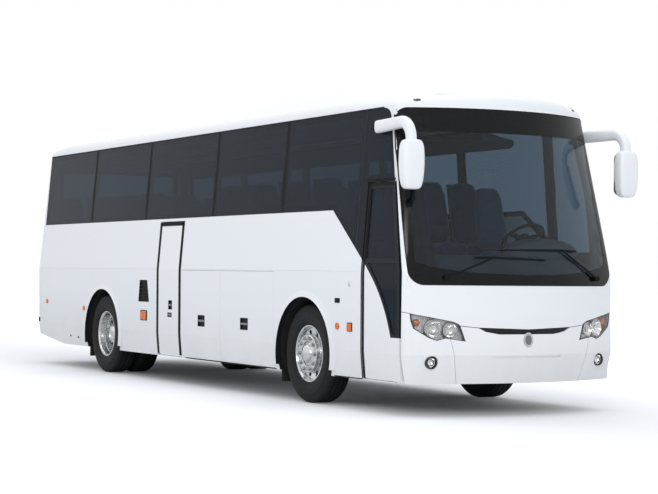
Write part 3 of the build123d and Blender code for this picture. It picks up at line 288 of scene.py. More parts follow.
# The front hub's bolting ring stands out from the rim, and its cap from the ring: (offset, radius).
HUB_RING = [(0.100, 0.2035), (0.136, 0.2035), (0.141, 0.1985), (0.141, 0.134), (0.137, 0.129), (0.100, 0.129)]
HUB_CAP = [(0.128, 0.100), (0.150, 0.096), (0.166, 0.080), (0.172, 0.050), (0.173, 0), (0.128, 0)]
for side, word in SIDES:
    centre = (FRONT_X, side * FRONT_Y, WHEEL_Z)
    for piece, profile, turns in (("ring", HUB_RING, 72), ("cap", HUB_CAP, 56)):
        surface(f"front_hub_{piece}_{word}", turned(profile, centre, (0, side, 0), turns), wheel_metal,
                f"front_wheel_{word}")
# columns: body, x, y of the bolting face, y of the cap's screws, radius of their circle
HUBS = [("front_wheel", FRONT_X, FRONT_Y + 0.141, FRONT_Y + 0.131, 0.118),
        ("rear_wheels", REAR_X, OUTER_Y - 0.070, OUTER_Y + 0.026, 0.112)]
for hub, x, face_y, cap_y, screw_circle in HUBS:
    for side, word in SIDES:
        nuts = round_the_hub(NUT, 10, NUT_CIRCLE, x, face_y, side, 6)
        surface(f"{hub}_nuts_{word}", nuts, nut_steel, f"{hub}_{word}", (True, False), 25)
        screws = round_the_hub(SCREW, 8, screw_circle, x, cap_y, side, 12)
        surface(f"{hub}_cap_screws_{word}", screws, nut_steel, f"{hub}_{word}", (True, False))

# ---------------------------------------------------------------- tyres
# Moulded rubber with three grooves round the tread, slots across its shoulders, and a rib that guards
# the side wall. The rubber's roughness varies in cloudy patches.
TREAD_RADIUS = 0.5195
GROOVES = (-0.056, 0.0, 0.056)
SLOTS = 72


def tyre_section():
    """Half the section from bead to bead, (offset, radius): wall, guard rib, shoulder, then the tread
    with each groove's four corners."""
    wall = [(0.104, 0.2915), (0.116, 0.300), (0.128, 0.318), (0.138, 0.345), (0.1435, 0.375), (0.1450, 0.402),
            (0.1440, 0.424), (0.1448, 0.428), (0.1448, 0.436), (0.1420, 0.440), (0.1370, 0.460),
            (0.1310, 0.480), (0.1250, 0.496), (0.1160, 0.509), (0.1020, 0.5165), (0.0900, TREAD_RADIUS)]
    tread = []
    for middle in reversed(GROOVES):
        tread += [(middle + 0.0065, TREAD_RADIUS), (middle + 0.0045, TREAD_RADIUS - 0.011),
                  (middle - 0.0045, TREAD_RADIUS - 0.011), (middle - 0.0065, TREAD_RADIUS)]
    inside = [(-0.104, 0.2915), (-0.100, 0.302), (-0.118, 0.345), (-0.128, 0.402), (-0.112, 0.475),
              (0.0, 0.492), (0.112, 0.475), (0.128, 0.402), (0.118, 0.345), (0.100, 0.302)]
    return np.array(wall + tread + [(-offset, radius) for offset, radius in wall[::-1]][:-1] + inside)


def tyre(x, y, side):
    """The section carried round the wheel's axis. Slots lower the shoulders where the angle's share of
    one slot pitch is under a fifth."""
    offset, radius = tyre_section().T
    angle = np.linspace(0, 2 * pi, SLOTS * 5, endpoint=False)[:, None]
    on_shoulder = (np.abs(offset) > 0.088) & (radius > 0.49) & (radius < 0.5196)
    slot = (angle * SLOTS / (2 * pi) % 1 < 0.19) & on_shoulder
    reach = radius - np.where(slot, 0.006, 0.0)
    return np.stack([x + reach * np.cos(angle), side * (y + offset) + 0 * angle,
                     WHEEL_Z + reach * np.sin(angle)], -1)


tyre_rubber = speckled(
    "moulded_tyre_rubber", "#141516",
    18, ("#141516", "#212223"), rough=(0.62, 0.85), bump_mm=0.3, Roughness=0.8, IOR=1.35)
for side, word in SIDES:
    front = surface(f"front_tyre_{word}_moulded", tyre(FRONT_X, FRONT_Y, side), tyre_rubber,
                    f"front_wheel_{word}")
    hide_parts(f"front_tyre_{word}")
    twins = np.stack([tyre(REAR_X, OUTER_Y, side), tyre(REAR_X, INNER_Y, side)])
    rear = surface(f"rear_tyres_{word}_moulded", twins, tyre_rubber, f"rear_wheels_{word}")
    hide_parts(f"rear_tyres_{word}")

# ---------------------------------------------------------------- painted panels
# Steel and moulded panels in white two-pack paint under a clear coat, polished but for a faint orange
# peel, and dusty near the road. The posts between the windows are primed black to match the glass.
# The inner edges of the wheel arches are made black as painted shade, where their recess lies in shadow.
DIAGONAL_X, DIAGONAL_Z, DIAGONAL_SLOPE = 3.543, 2.020, 0.755
# The door's slanting edge is an arc, and its centre and radius follow from three of its points.
SLANT_CENTRE, SLANT_RADIUS = (3.371, 0.290), 1.484
PILLAR_X, PILLAR_LEAN, PILLAR_Z = 4.968, 0.25, 1.390
# Where primer ends: x of the door's rear seam, x of both pillar lines, x of the rear posts, half width of
# the rear opening and heights of the bands; and the distance from an axle within which the wheel arches are
# painted black as shade.
DOOR_SEAM_X, FLANGE_X, POST_X, REAR_POST_X, REAR_HALF = 4.235, 5.020, 4.945, -5.022, 0.952
FLANGE_BAND, REAR_BAND, SIDE_BAND, ARCH_SHADE_REACH = (1.290, 2.985), (2.058, 2.862), (0.757, 3.019), 0.600


def two_pack(name, primed):
    """White paint; primed also makes black what lies above the slanting window line ("windows"),
    behind the edge of the windscreen ("flange") or within the rear window's opening ("rear"). With "windows"
    the inner edges of the wheel arches are made black as well, as painted shade."""
    ior = 1.35 if primed == "" else 1.2
    material, tree, shader = start_material(name, "#F4F6F8", Roughness=0.38, IOR=ior)
    shader.inputs["Coat Weight"].default_value = 0.4
    shader.inputs["Coat IOR"].default_value = 1.3
    shader.inputs["Coat Roughness"].default_value = 0.03
    where = add(tree, "TexCoord").outputs["Object"]
    peel = add(tree, "TexNoise", {"Vector": where, "Scale": 140.0, "Detail": 2.0})
    dust = add(tree, "TexNoise", {"Vector": where, "Scale": 2.2, "Detail": 8.0, "Roughness": 0.65})
    apart = add(tree, "SeparateXYZ", {"Vector": where})
    low = add(tree, "MapRange", {"Value": apart.outputs["Z"], "From Min": 1.0, "From Max": 0.3,
                                 "To Min": 0.0, "To Max": 0.55})
    soiled = add(tree, "Math", {0: dust, 1: low}, operation="MULTIPLY")
    colour = add(tree, "Mix", {0: soiled, 6: srgb("#F3F5F7"), 7: srgb("#CFCDC8")}, data_type="RGBA")
    result = colour.outputs[2]
    rough = add(tree, "MapRange", {"Value": soiled, "To Min": 0.33, "To Max": 0.7})
    x, z = apart.outputs["X"], apart.outputs["Z"]

    def where_all(*limits):
        """1 where each (value, comparison, edge) holds and 0 elsewhere: the comparisons multiplied."""
        mask = None
        for value, comparison, edge in limits:
            holds = add(tree, "Math", {0: value, 1: edge}, operation=comparison)
            mask = add(tree, "Math", {0: mask, 1: holds}, operation="MULTIPLY") if mask else holds
        return mask

    def pillar_line(base_x):
        """The x of a line that leans back from base_x at the pillar's foot."""
        return add(tree, "Math", {0: z, 1: -PILLAR_LEAN, 2: base_x + PILLAR_LEAN * PILLAR_Z},
                   operation="MULTIPLY_ADD")

    if primed == "flange":
        mask = where_all((x, "GREATER_THAN", pillar_line(FLANGE_X)), (z, "GREATER_THAN", FLANGE_BAND[0]),
                         (z, "LESS_THAN", FLANGE_BAND[1]))
    if primed == "rear":
        wide = add(tree, "Math", {0: apart.outputs["Y"]}, operation="ABSOLUTE")
        mask = where_all((wide, "LESS_THAN", REAR_HALF), (z, "GREATER_THAN", REAR_BAND[0]),
                         (z, "LESS_THAN", REAR_BAND[1]))
    if primed == "windows":
        slope = add(tree, "Math", {0: x, 1: -DIAGONAL_SLOPE, 2: DIAGONAL_Z + DIAGONAL_SLOPE * DIAGONAL_X},
                    operation="MULTIPLY_ADD")
        sill = add(tree, "Math", {0: slope, 1: DIAGONAL_Z}, operation="MINIMUM")
        flat = add(tree, "CombineXYZ", {"X": x, "Y": z})
        spread = add(tree, "VectorMath", {0: flat, 1: (*SLANT_CENTRE, 0.0)}, operation="DISTANCE")
        on_wall = where_all((z, "GREATER_THAN", sill), (x, "LESS_THAN", DOOR_SEAM_X))
        on_door = where_all((spread.outputs["Value"], "GREATER_THAN", SLANT_RADIUS),
                            (x, "GREATER_THAN", DOOR_SEAM_X))
        either = add(tree, "Math", {0: on_wall, 1: on_door}, operation="MAXIMUM")
        mask = where_all((either, "GREATER_THAN", 0.5), (z, "GREATER_THAN", SIDE_BAND[0]),
                         (z, "LESS_THAN", SIDE_BAND[1]), (x, "GREATER_THAN", REAR_POST_X),
                         (x, "LESS_THAN", pillar_line(POST_X)))
        # Painted shade: near each axle the inner edges of the wheel arches are made black where their recess
        # lies in shadow.
        for axle_x in (FRONT_X, REAR_X):
            reach = add(tree, "VectorMath", {0: flat, 1: (axle_x, WHEEL_Z, 0.0)}, operation="DISTANCE")
            painted_arch_shade = where_all((reach.outputs["Value"], "LESS_THAN", ARCH_SHADE_REACH))
            mask = add(tree, "Math", {0: mask, 1: painted_arch_shade}, operation="MAXIMUM")
    # One black for the primer on posts, flange and opening, and for the painted shade in the wheel arches.
    if primed:
        result = add(tree, "Mix", {0: mask, 6: result, 7: srgb("#1C2126")}, data_type="RGBA").outputs[2]
        coat = add(tree, "MapRange", {"Value": mask, "To Min": 0.4, "To Max": 0.0})
        tree.links.new(coat.outputs[0], shader.inputs["Coat Weight"])
    tree.links.new(result, shader.inputs["Base Color"])
    tree.links.new(rough.outputs[0], shader.inputs["Roughness"])
    relief = add(tree, "Bump", {"Height": peel, "Distance": 0.0001, "Strength": 0.25})
    tree.links.new(relief.outputs[0], shader.inputs["Normal"])
    return material


white_paint = two_pack("white_two_pack_paint_sprayed", "")
banded_paint_with_painted_arch_shade = two_pack("white_two_pack_paint_with_black_primed_posts", "windows")
flange_paint = two_pack("white_two_pack_paint_with_black_primed_flange", "flange")
dress(flange_paint, "front_panel")
dress(two_pack("white_two_pack_paint_with_black_primed_opening", "rear"), "rear_panel")
dress(white_paint, "roof", "front_bumper", "engine_lid", "mid_door", "roof_air_unit",
      "mirrors", *[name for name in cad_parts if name.startswith("luggage_flap")])
dress(banded_paint_with_painted_arch_shade, "side_wall_right", "side_wall_left", "front_door")

# ---------------------------------------------------------------- window glass
# Tinted toughened panes bonded flush along the sides, and a clearer laminated windscreen. The float
# process leaves them smooth; a film of dust gives the faintest haze.
def glazing(name, colour, clear, ior):
    """Glass of one tint and share of clearness, with a film of dust that dulls it in patches."""
    material, tree, shader = start_material(name, colour, IOR=ior)
    shader.inputs["Transmission Weight"].default_value = clear
    where = add(tree, "TexCoord").outputs["Object"]
    haze = add(tree, "TexNoise", {"Vector": where, "Scale": 1.5, "Detail": 6.0})
    film = add(tree, "MapRange", {"Value": haze, "From Min": 0.35, "From Max": 0.7,
                                  "To Min": 0.0, "To Max": 0.03})
    tree.links.new(film.outputs[0], shader.inputs["Roughness"])
    return material


side_glass = glazing("grey_tinted_toughened_glass", "#5C6A78", 0.88, 1.13)
dress(side_glass, "side_windows_right", "side_windows_left", "rear_window", "front_door_glass")
screen_glass = glazing("green_tinted_laminated_glass", "#B9CBD6", 1.0, 1.3)
dress(screen_glass, "windscreen")

# ---------------------------------------------------------------- windscreen border
# A black ceramic enamel, screen printed and fired on the edge of the windscreen, deep along the top.
# It hides the bond line, so it is opaque, smooth and a little glossy.
# columns: height, half width, tip of the bow, radius of the bow, radius of the corner
BODY_LEVELS = np.array([(0.320, 1.235, 5.215, 3.200, 0.085), (0.600, 1.260, 5.300, 3.000, 0.085),
                        (1.390, 1.265, 5.280, 2.900, 0.085), (3.033, 1.125, 5.010, 1.900, 0.120)])


def bow_point(level, t):
    """A level's outline seen from above: t from 0 to 1 runs along the bow's arc, from 1 to 2 round the
    corner's; gives x, y and the direction in which the outline faces."""
    _, half, tip, bow, corner = np.moveaxis(BODY_LEVELS[level], -1, 0)
    end = np.arcsin((half - corner) / (bow - corner))
    face = np.where(t < 1, t * end, end + (t - 1) * (pi / 2 - end))
    on_bow = t < 1
    x = np.where(on_bow, tip - bow + bow * np.cos(face),
                 tip - bow + (bow - corner) * np.cos(end) + corner * np.cos(face))
    y = np.where(on_bow, bow * np.sin(face), half - corner + corner * np.sin(face))
    return x, y, face


def nose(y, z, proud=0.0, to_pillar=None):
    """Points on the nose at width y and height z, moved out square to it: straight lines join equal t on
    the levels, and t is found by halving. With to_pillar the width is found where x is that far
    ahead of the pillar line instead."""
    y, z, proud = np.broadcast_arrays(np.asarray(y, float), np.asarray(z, float), proud)
    side = np.where(y < 0, -1.0, 1.0)
    level = np.clip(np.searchsorted(BODY_LEVELS[:, 0], z) - 1, 0, 2)
    share = (z - BODY_LEVELS[level, 0]) / (BODY_LEVELS[level + 1, 0] - BODY_LEVELS[level, 0])
    low, high = np.zeros_like(z), np.full_like(z, 2.0)
    for _ in range(36):
        t = (low + high) / 2
        (x0, y0, face0), (x1, y1, face1) = bow_point(level, t), bow_point(level + 1, t)
        x_at, y_at, face = x0 + (x1 - x0) * share, y0 + (y1 - y0) * share, face0 + (face1 - face0) * share
        if to_pillar is None:
            short = y_at < np.abs(y)
        else:
            short = x_at > PILLAR_X - PILLAR_LEAN * (z - PILLAR_Z) + to_pillar
        low, high = np.where(short, t, low), np.where(short, high, t)
    return np.stack([x_at + proud * np.cos(face), side * (y_at + proud * np.sin(face)), z], -1)


def with_ends(grid):
    """The grid with a row at each end drawn together to that end's middle, which closes it."""
    first, last = (np.repeat(row.mean(1, keepdims=True), grid.shape[1], 1) for row in (grid[:1], grid[-1:]))
    return np.concatenate([first, grid, last])


def ribbon(edge_a, edge_b, place, proud, sunk=0.002, closed=False, across=2):
    """A strip between two edges on a body surface. Place turns the edges' two coordinates and a height
    into points; the section runs over the strip and back beneath it, and open ends are closed."""
    share = np.linspace(0, 1, across)[None, :, None]
    plan = edge_a[:, None] + (edge_b - edge_a)[:, None] * share
    top = place(plan[..., 0], plan[..., 1], proud)
    under = place(plan[..., 0], plan[..., 1], -sunk)[:, ::-1]
    grid = np.concatenate([top, under], 1)
    return grid if closed else with_ends(grid)


def screen_edge(low_z, high_z, half_at, corner, rise, limit=lambda z: 9.0 + 0 * z):
    """An outline on the nose: up the right edge, across the top, down the left and back along the foot.
    Corners are quarter rounds inside the lesser of half_at and limit; rise lifts the foot by the cube of
    the share of the half width."""
    count = 32
    up = (1 - np.cos(np.linspace(0, pi, count))) / 2
    z = low_z + rise + (high_z - low_z - rise) * up
    into = np.clip(np.maximum(z - (high_z - corner), low_z + rise + corner - z), 0, corner)
    half = np.minimum(half_at(z), limit(z)) - (corner - np.sqrt(corner ** 2 - into ** 2))
    side = np.stack([-half, z], 1)
    share = np.linspace(-1, 1, 2 * count)
    top = np.stack([half[-1] * share, np.full(2 * count, high_z)], 1)
    foot = np.stack([-half[0] * share, low_z + rise * np.abs(share) ** 3], 1)
    return np.concatenate([side, top, (side * (-1, 1))[::-1], foot])


screen_enamel = speckled(
    "black_fired_ceramic_enamel", "#08090A",
    30, ("#070809", "#0D0F11"), rough=(0.08, 0.16), Roughness=0.12, Specular_IOR_Level=0.2)
outer_edge = screen_edge(1.276, 2.996, lambda z: 1.255 - 0.0637 * (z - 1.276), 0.085, 0.0,
                         lambda z: nose(1.0, z, 0.0, 0.047)[..., 1])
glass_edge = screen_edge(1.266, 3.006, lambda z: 1.270 - 0.0637 * (z - 1.276), 0.004, 0.0,
                         lambda z: nose(1.0, z, 0.0, 0.028)[..., 1])
inner_edge = screen_edge(1.378, 2.765, lambda z: 1.150 - 0.062 * (z - 1.5), 0.060, 0.095)
surface("windscreen_border", ribbon(outer_edge, inner_edge, nose, 0.0012, 0.001, True, 6), screen_enamel)

# White paint fills the corners of the pane outside the black border.
surface("windscreen_corner_fill", ribbon(glass_edge, outer_edge, nose, 0.0016, 0.001, True, 4), white_paint)

# ---------------------------------------------------------------- rubber seals
# Extruded black rubber round the windscreen, the doors and along the foot of the body. It is pressed on
# or bonded, matt, and stands only a few millimetres proud.
def wall(side):
    """Gives a place function for one side wall: the half width at a height is read between the levels."""
    def place(x, z, proud):
        half = np.interp(z, BODY_LEVELS[:, 0], BODY_LEVELS[:, 1])
        return np.stack([x, side * (half + proud), z], -1)
    return place


def flat_strip(name, points, width, side, material, body="coach", proud=0.004):
    """A strip of one width along a line on a side wall, cut square to the wall's length or height."""
    points = np.array(points, float)
    run = np.gradient(points, axis=0)
    run /= np.linalg.norm(run, axis=1, keepdims=True)
    aside = np.stack([-run[:, 1], run[:, 0]], 1) * width / 2
    strip = ribbon(points - aside, points + aside, wall(side), proud)
    return surface(name, strip, material, body, (False, True))


seal_rubber = speckled(
    "extruded_black_rubber", "#0B0C0D",
    12, ("#08090A", "#131415"), rough=(0.55, 0.75), bump_mm=0.1, Roughness=0.7, IOR=1.25)
rim_out = outer_edge + np.sign(outer_edge - (0, 2.136)) * 0.007
surface("windscreen_seal", ribbon(rim_out, outer_edge, nose, 0.003, 0.001, True), seal_rubber)


def line(start, end):
    """Evenly spaced points from start to end."""
    return np.linspace(start, end, 24)


# Filler between the panes, and a filled round corner at the front of each side's dark band.
for index, gap_x in enumerate((-3.200, -1.330, 0.670, 2.410)):
    for side, word in SIDES:
        joint = line((gap_x, 2.026), (gap_x, 3.014))
        flat_strip(f"pane_joint_{index}_{word}", joint, 0.050, side, seal_rubber, proud=0.0015)
quarter = np.linspace(0, pi / 2, 20)
foot_x, foot_z = 4.400, 2.905
arc = np.stack([foot_x + 0.160 * np.cos(quarter) - 0.002 * quarter, foot_z + 0.112 * np.sin(quarter)], 1)
corner_x = np.interp(quarter, (0, pi / 4, pi / 2), (4.572, 4.548, 4.398))
corner_z = np.interp(quarter, (0, pi / 4, pi / 2), (2.905, 3.024, 3.024))
for side, word in SIDES:
    surface(f"band_corner_fill_{word}", ribbon(arc, np.stack([corner_x, corner_z], 1), wall(side), 0.0022),
            white_paint, around=(False, True))
    flat_strip(f"window_head_seal_{word}", line((-5.020, 3.020), (4.402, 3.020)), 0.014, side, seal_rubber,
               proud=0.003)
# columns: name, start, end, width, body, height
DOOR_STRIPS = [
    ("front_door_hinge_seal", (4.261, 0.340), (4.261, 2.262), 0.036, "front_door_leaf", 0.004),
    ("front_door_post_seal", (4.222, 0.330), (4.222, 2.285), 0.012, "coach", 0.004),
    ("front_door_head_seal", (4.245, 2.256), (4.700, 2.256), 0.030, "front_door_leaf", 0.004),
    ("front_door_drip_rail", (4.205, 2.300), (4.735, 2.300), 0.014, "coach", 0.012),
    ("mid_door_seal_801", (-0.801, 0.345), (-0.801, 1.968), 0.054, "mid_door_leaf", 0.004),
    ("mid_door_seal_139", (-0.139, 0.345), (-0.139, 1.968), 0.054, "mid_door_leaf", 0.004),
    ("mid_door_head_seal", (-0.828, 1.952), (-0.112, 1.952), 0.044, "mid_door_leaf", 0.004),
]
for name, start, end, width, body, height in DOOR_STRIPS:
    flat_strip(name, line(start, end), width, -1, seal_rubber, body, height)
for side, word in SIDES:
    for where_word, x0, x1 in (("front", 3.66, 4.21), ("middle", 0.02, 2.38)):
        flat_strip(f"skirt_lip_{where_word}_{word}", line((x0, 0.326), (x1, 0.326)), 0.010, side, seal_rubber,
                   proud=0.005)

# ---------------------------------------------------------------- headlamps
# A clear moulded lens over a black housing with two aluminised bowls, one with a projector, and an
# amber bulb at the outer end. The lens is bonded into the nose and follows it.
HEADLAMP = np.array([(1.201, 0.994), (1.118, 0.981), (1.034, 0.964), (0.914, 0.941), (0.794, 0.917),
                     (0.752, 0.901), (0.735, 0.880), (0.707, 0.805), (0.684, 0.735), (0.778, 0.748),
                     (0.873, 0.764), (0.917, 0.750), (0.961, 0.741), (0.998, 0.751), (1.035, 0.768),
                     (1.103, 0.812), (1.171, 0.857), (1.185, 0.892), (1.195, 0.930), (1.199, 0.962)])
HEADLAMP_MIDDLE = (0.960, 0.856)


def button(outline, middle, profile, place):
    """A closed form over an outline: profile gives a share of the way from the middle to the outline
    and a height; a share of nought closes both faces."""
    share, height = np.array(profile, float).T
    plan = np.array(middle) + (np.asarray(outline, float) - middle)[:, None] * share[None, :, None]
    return place(plan[..., 0], plan[..., 1], np.broadcast_to(height, plan.shape[:2]))


def both_sides(grid):
    """The grid and its mirror image across the middle of the coach."""
    return np.stack([grid, grid * (1, -1, 1)])


lens_clear, tree, shader = start_material("clear_moulded_polycarbonate", "#F8F9F9", IOR=1.4, Roughness=0.02)
shader.inputs["Transmission Weight"].default_value = 1.0
speckle(tree, shader, 300, ("#F4F5F5", "#FCFCFC"), rough=(0.0, 0.03))
lamp_black = speckled(
    "black_moulded_polybutylene", "#1A1C1E", 15, ("#15171A", "#25282B"), rough=(0.3, 0.45), Roughness=0.35)
lamp_grey = speckled(
    "satin_metallised_moulding", "#BDBEBF",
    15, ("#ACADAE", "#CBCBCC"), rough=(0.25, 0.4), Metallic=1.0, Roughness=0.3)
bowl_silver = speckled(
    "aluminised_moulded_bowl", "#E2E2E2",
    20, ("#D2D2D2", "#EEEEEE"), rough=(0.06, 0.2), Metallic=1.0, Roughness=0.12)
bulb_amber = speckled(
    "amber_moulded_acrylic", "#E8640F",
    6, ("#D9560A", "#F5832B"), rough=(0.1, 0.22), bump_mm=0.3, Roughness=0.15)
LENS = [(0, -0.004), (0.5, -0.004), (0.97, -0.004), (0.97, -0.012), (0.995, -0.012), (0.995, -0.001),
        (0.97, 0.0), (0.5, 0.0), (0, 0.0)]
lens = button(HEADLAMP, HEADLAMP_MIDDLE, LENS, nose)
headlamps = surface("headlamp_lenses", both_sides(lens), lens_clear, around=(True, False))
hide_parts("front_lamps")
housing = button(HEADLAMP, HEADLAMP_MIDDLE, [(0, -0.070), (0.93, -0.070), (0.94, -0.014), (0.995, -0.013),
                                             (0.995, -0.078), (0, -0.078)], nose)
surface("headlamp_housings", both_sides(housing), lamp_grey, around=(True, False))
edge = [(1.0, 0.0012), (0.945, 0.0012), (0.945, -0.002), (1.0, -0.002)]
surface("headlamp_edges", both_sides(button(HEADLAMP, HEADLAMP_MIDDLE, edge, nose)), lamp_black)
BOWL = [(-0.046, 0), (-0.045, 0.30), (-0.036, 0.62), (-0.020, 0.86), (0.0, 1.0), (0.004, 1.04), (0.002, 1.08),
        (-0.004, 1.06), (-0.024, 0.90), (-0.040, 0.66), (-0.050, 0.33), (-0.051, 0)]
PROJECTOR = [(-0.046, 0), (-0.046, 1.25), (-0.012, 1.25), (-0.008, 1.0), (0.002, 0.80), (0.008, 0.45),
             (0.010, 0)]
# columns: y, z, radius
BOWLS = [(0.980, 0.853, 0.080), (0.826, 0.836, 0.066)]
bowls, projectors = [], []
for y, z, radius in BOWLS:
    front_x = float(nose(y + radius, z)[0]) + 0.004
    axis = (1.0, 0.30, 0.0)
    for pieces, profile, size, turns in ((bowls, BOWL, radius, 40), (projectors, PROJECTOR, 0.024, 32)):
        section = [(offset, share * size) for offset, share in profile]
        pieces.append(both_sides(turned(section, (front_x, y, z), axis, turns)))
surface("headlamp_bowls", np.concatenate(bowls), bowl_silver, around=(True, False))
surface("headlamp_projectors", np.concatenate(projectors), lens_clear, around=(True, False))
BULB = [(-0.045, 0), (-0.045, 0.034), (-0.012, 0.034), (0.0, 0.027), (0.005, 0.013), (0.006, 0)]
bulb = turned(BULB, (float(nose(1.165, 0.92)[0]) - 0.022, 1.128, 0.909), (1, 0.6, 0), 24)
surface("headlamp_indicators", both_sides(bulb), bulb_amber, around=(True, False))

# ---------------------------------------------------------------- fog lamps
# Round lamps in black rings, clipped into the corners of the bumper: a glass dome over a bright bowl.
FOG_Y, FOG_Z = 1.000, 0.530
fog_x = float(nose(FOG_Y, FOG_Z)[0])
FOG_RING = [(-0.058, 0.050), (0.004, 0.044), (0.012, 0.048), (0.011, 0.0635), (0.003, 0.0635),
            (-0.060, 0.059), (-0.060, 0), (-0.056, 0), (-0.056, 0.048)]
FOG_GLASS = [(-0.010, 0), (-0.010, 0.051), (0.000, 0.0505), (0.005, 0.040), (0.009, 0.022), (0.010, 0)]
FOG_BOWL = [(-0.050, 0), (-0.048, 0.020), (-0.038, 0.036), (-0.014, 0.048), (-0.014, 0.0495), (-0.042, 0.038),
            (-0.053, 0.020), (-0.054, 0)]
for name, profile, material in (("rings", FOG_RING, lamp_black), ("bowls", FOG_BOWL, bowl_silver),
                                ("glasses", FOG_GLASS, lens_clear)):
    grid = turned(profile, (fog_x - 0.004, FOG_Y, FOG_Z), (1, 0, 0), 48)
    surface(f"fog_lamp_{name}", both_sides(grid), material, around=(True, False))

# ---------------------------------------------------------------- slit grille and boss
# A black grained nylon slit with slim bars, and a plain oval boss whose grey face sits in a satin
# chromed ring. Slit and boss are one moulding, clipped in from behind.
black_trim = speckled(
    "grained_black_nylon_moulded", "#0D0E0F",
    3, ("#090A0B", "#131415"), rough=(0.48, 0.66), bump_mm=0.1, Roughness=0.6, IOR=1.25)
BOSS_Z = 0.743
boss_trim, tree, shader = start_material("black_nylon_with_satin_chromed_boss", "#0D0E0F", Roughness=0.5)
where = add(tree, "TexCoord").outputs["Object"]
plan = add(tree, "VectorMath", {0: where, 1: (0.0, -1 / 0.053, 1 / 0.068), 2: (0.0, 0.0, -BOSS_Z / 0.068)},
           operation="MULTIPLY_ADD")
reach = add(tree, "VectorMath", {0: plan}, operation="LENGTH")
in_boss = add(tree, "Math", {0: reach.outputs["Value"], 1: 1.02}, operation="LESS_THAN")
in_face = add(tree, "Math", {0: reach.outputs["Value"], 1: 0.72}, operation="LESS_THAN")
grain = add(tree, "TexNoise", {"Vector": where, "Scale": 330.0, "Detail": 3.0})
nylon = add(tree, "Mix", {0: grain, 6: srgb("#090A0B"), 7: srgb("#131415")}, data_type="RGBA")
chromed = add(tree, "Mix", {0: in_boss, 6: nylon.outputs[2], 7: srgb("#C6C9CB")}, data_type="RGBA")
faced = add(tree, "Mix", {0: in_face, 6: chromed.outputs[2], 7: srgb("#6E7275")}, data_type="RGBA")
metal = add(tree, "Math", {0: in_boss, 1: in_face}, operation="SUBTRACT")
tree.links.new(faced.outputs[2], shader.inputs["Base Color"])
tree.links.new(metal.outputs[0], shader.inputs["Metallic"])
relief = add(tree, "Bump", {"Height": grain, "Distance": 0.0001, "Strength": 0.5})
tree.links.new(relief.outputs[0], shader.inputs["Normal"])
dress(boss_trim, "front_grille")
satin_ring = speckled(
    "satin_chromed_plastic", "#C9CCCF",
    10, ("#BFC2C5", "#D6D8DA"), rough=(0.2, 0.32), Metallic=1.0, Roughness=0.25)
turn = np.linspace(0, 2 * pi, 64, endpoint=False)
oval = np.stack([0.060 * np.cos(turn), BOSS_Z + 0.073 * np.sin(turn)], 1)
# A satin ring lies round the boss's foot, on the bumper's skin.
surface("boss_ring", button(oval, (0, BOSS_Z), [(1.0, -0.004), (1.0, 0.0006), (0.97, 0.0014), (0.90, 0.0014),
                                                (0.885, -0.004)], nose), satin_ring)

# ---------------------------------------------------------------- wipers
# Black painted steel arms with rubber blades: each blade is a slim wedge from its carrier to the glass.
dress(black_trim, "wipers")
# columns: y of both ends, z of both ends
BLADES = [(-0.580, 0.213, 1.541, 1.523), (-0.309, 0.645, 1.616, 1.615)]
blades = []
for y0, y1, z0, z1 in BLADES:
    share = np.linspace(0, 1, 40)
    y, z = y0 + (y1 - y0) * share, z0 + (z1 - z0) * share
    corners = [nose(y, z + 0.0045, 0.018), nose(y, z - 0.0045, 0.018), nose(y, z - 0.0022, 0.0015),
               nose(y, z + 0.0022, 0.0015)]
    grid = np.stack(corners, 1)
    blades.append(with_ends(grid))
surface("wiper_blades", np.stack(blades), seal_rubber, around=(False, True))

# ---------------------------------------------------------------- side mirrors
# Painted shells on swan-neck arms with silvered glass behind, a black rubber edge, and a black sleeve
# where each arm meets the cant rail. Arm and head are moulded in glass filled plastic.
MIRROR_X, MIRROR_Y, MIRROR_Z = 5.103, 1.290, 2.412
silvered = speckled(
    "silvered_float_glass", "#DDE3E6",
    200, ("#D6DCDF", "#E4E9EB"), rough=(0.01, 0.04), Metallic=1.0, Roughness=0.02)


def bent(value, power):
    """The value's size raised to a power, with its sign kept: squares off sines and cosines."""
    return np.sign(value) * np.abs(value) ** power


def swan_neck():
    """An oval bar carried along a line that runs forward and then turns down by a quarter: its section
    stands square to the line, narrows along it, and closes at both ends."""
    run = np.linspace(0, 1, 14)[:, None]
    straight = np.array((4.400, 1.196, 2.822)) + run * np.array((0.592, 0.088, 0.004))
    bend = 0.176
    turn = np.linspace(0, pi / 2, 16)[1:, None]
    curve = straight[-1] + bend * np.concatenate([np.sin(turn), 0.03 * np.sin(turn), np.cos(turn) - 1], 1)
    drop = curve[-1] + np.array([(0, 0, -0.04), (0, 0, -0.10)])
    line = np.concatenate([straight, curve, drop])
    ahead = np.gradient(line, axis=0)
    ahead /= np.linalg.norm(ahead, axis=1, keepdims=True)
    across = np.array((0.0, 1.0, 0.0))
    over = np.cross(ahead, across)
    along = np.linspace(0, 1, len(line))[:, None, None]
    around = np.linspace(0, 2 * pi, 24, endpoint=False)[None, :, None]
    half_high, half_wide = 0.066 - 0.016 * along, 0.042 + 0.006 * along
    ring = (half_wide * bent(np.cos(around), 0.75) * across
            + half_high * bent(np.sin(around), 0.75) * over[:, None])
    grid = line[:, None] + ring
    return with_ends(grid)


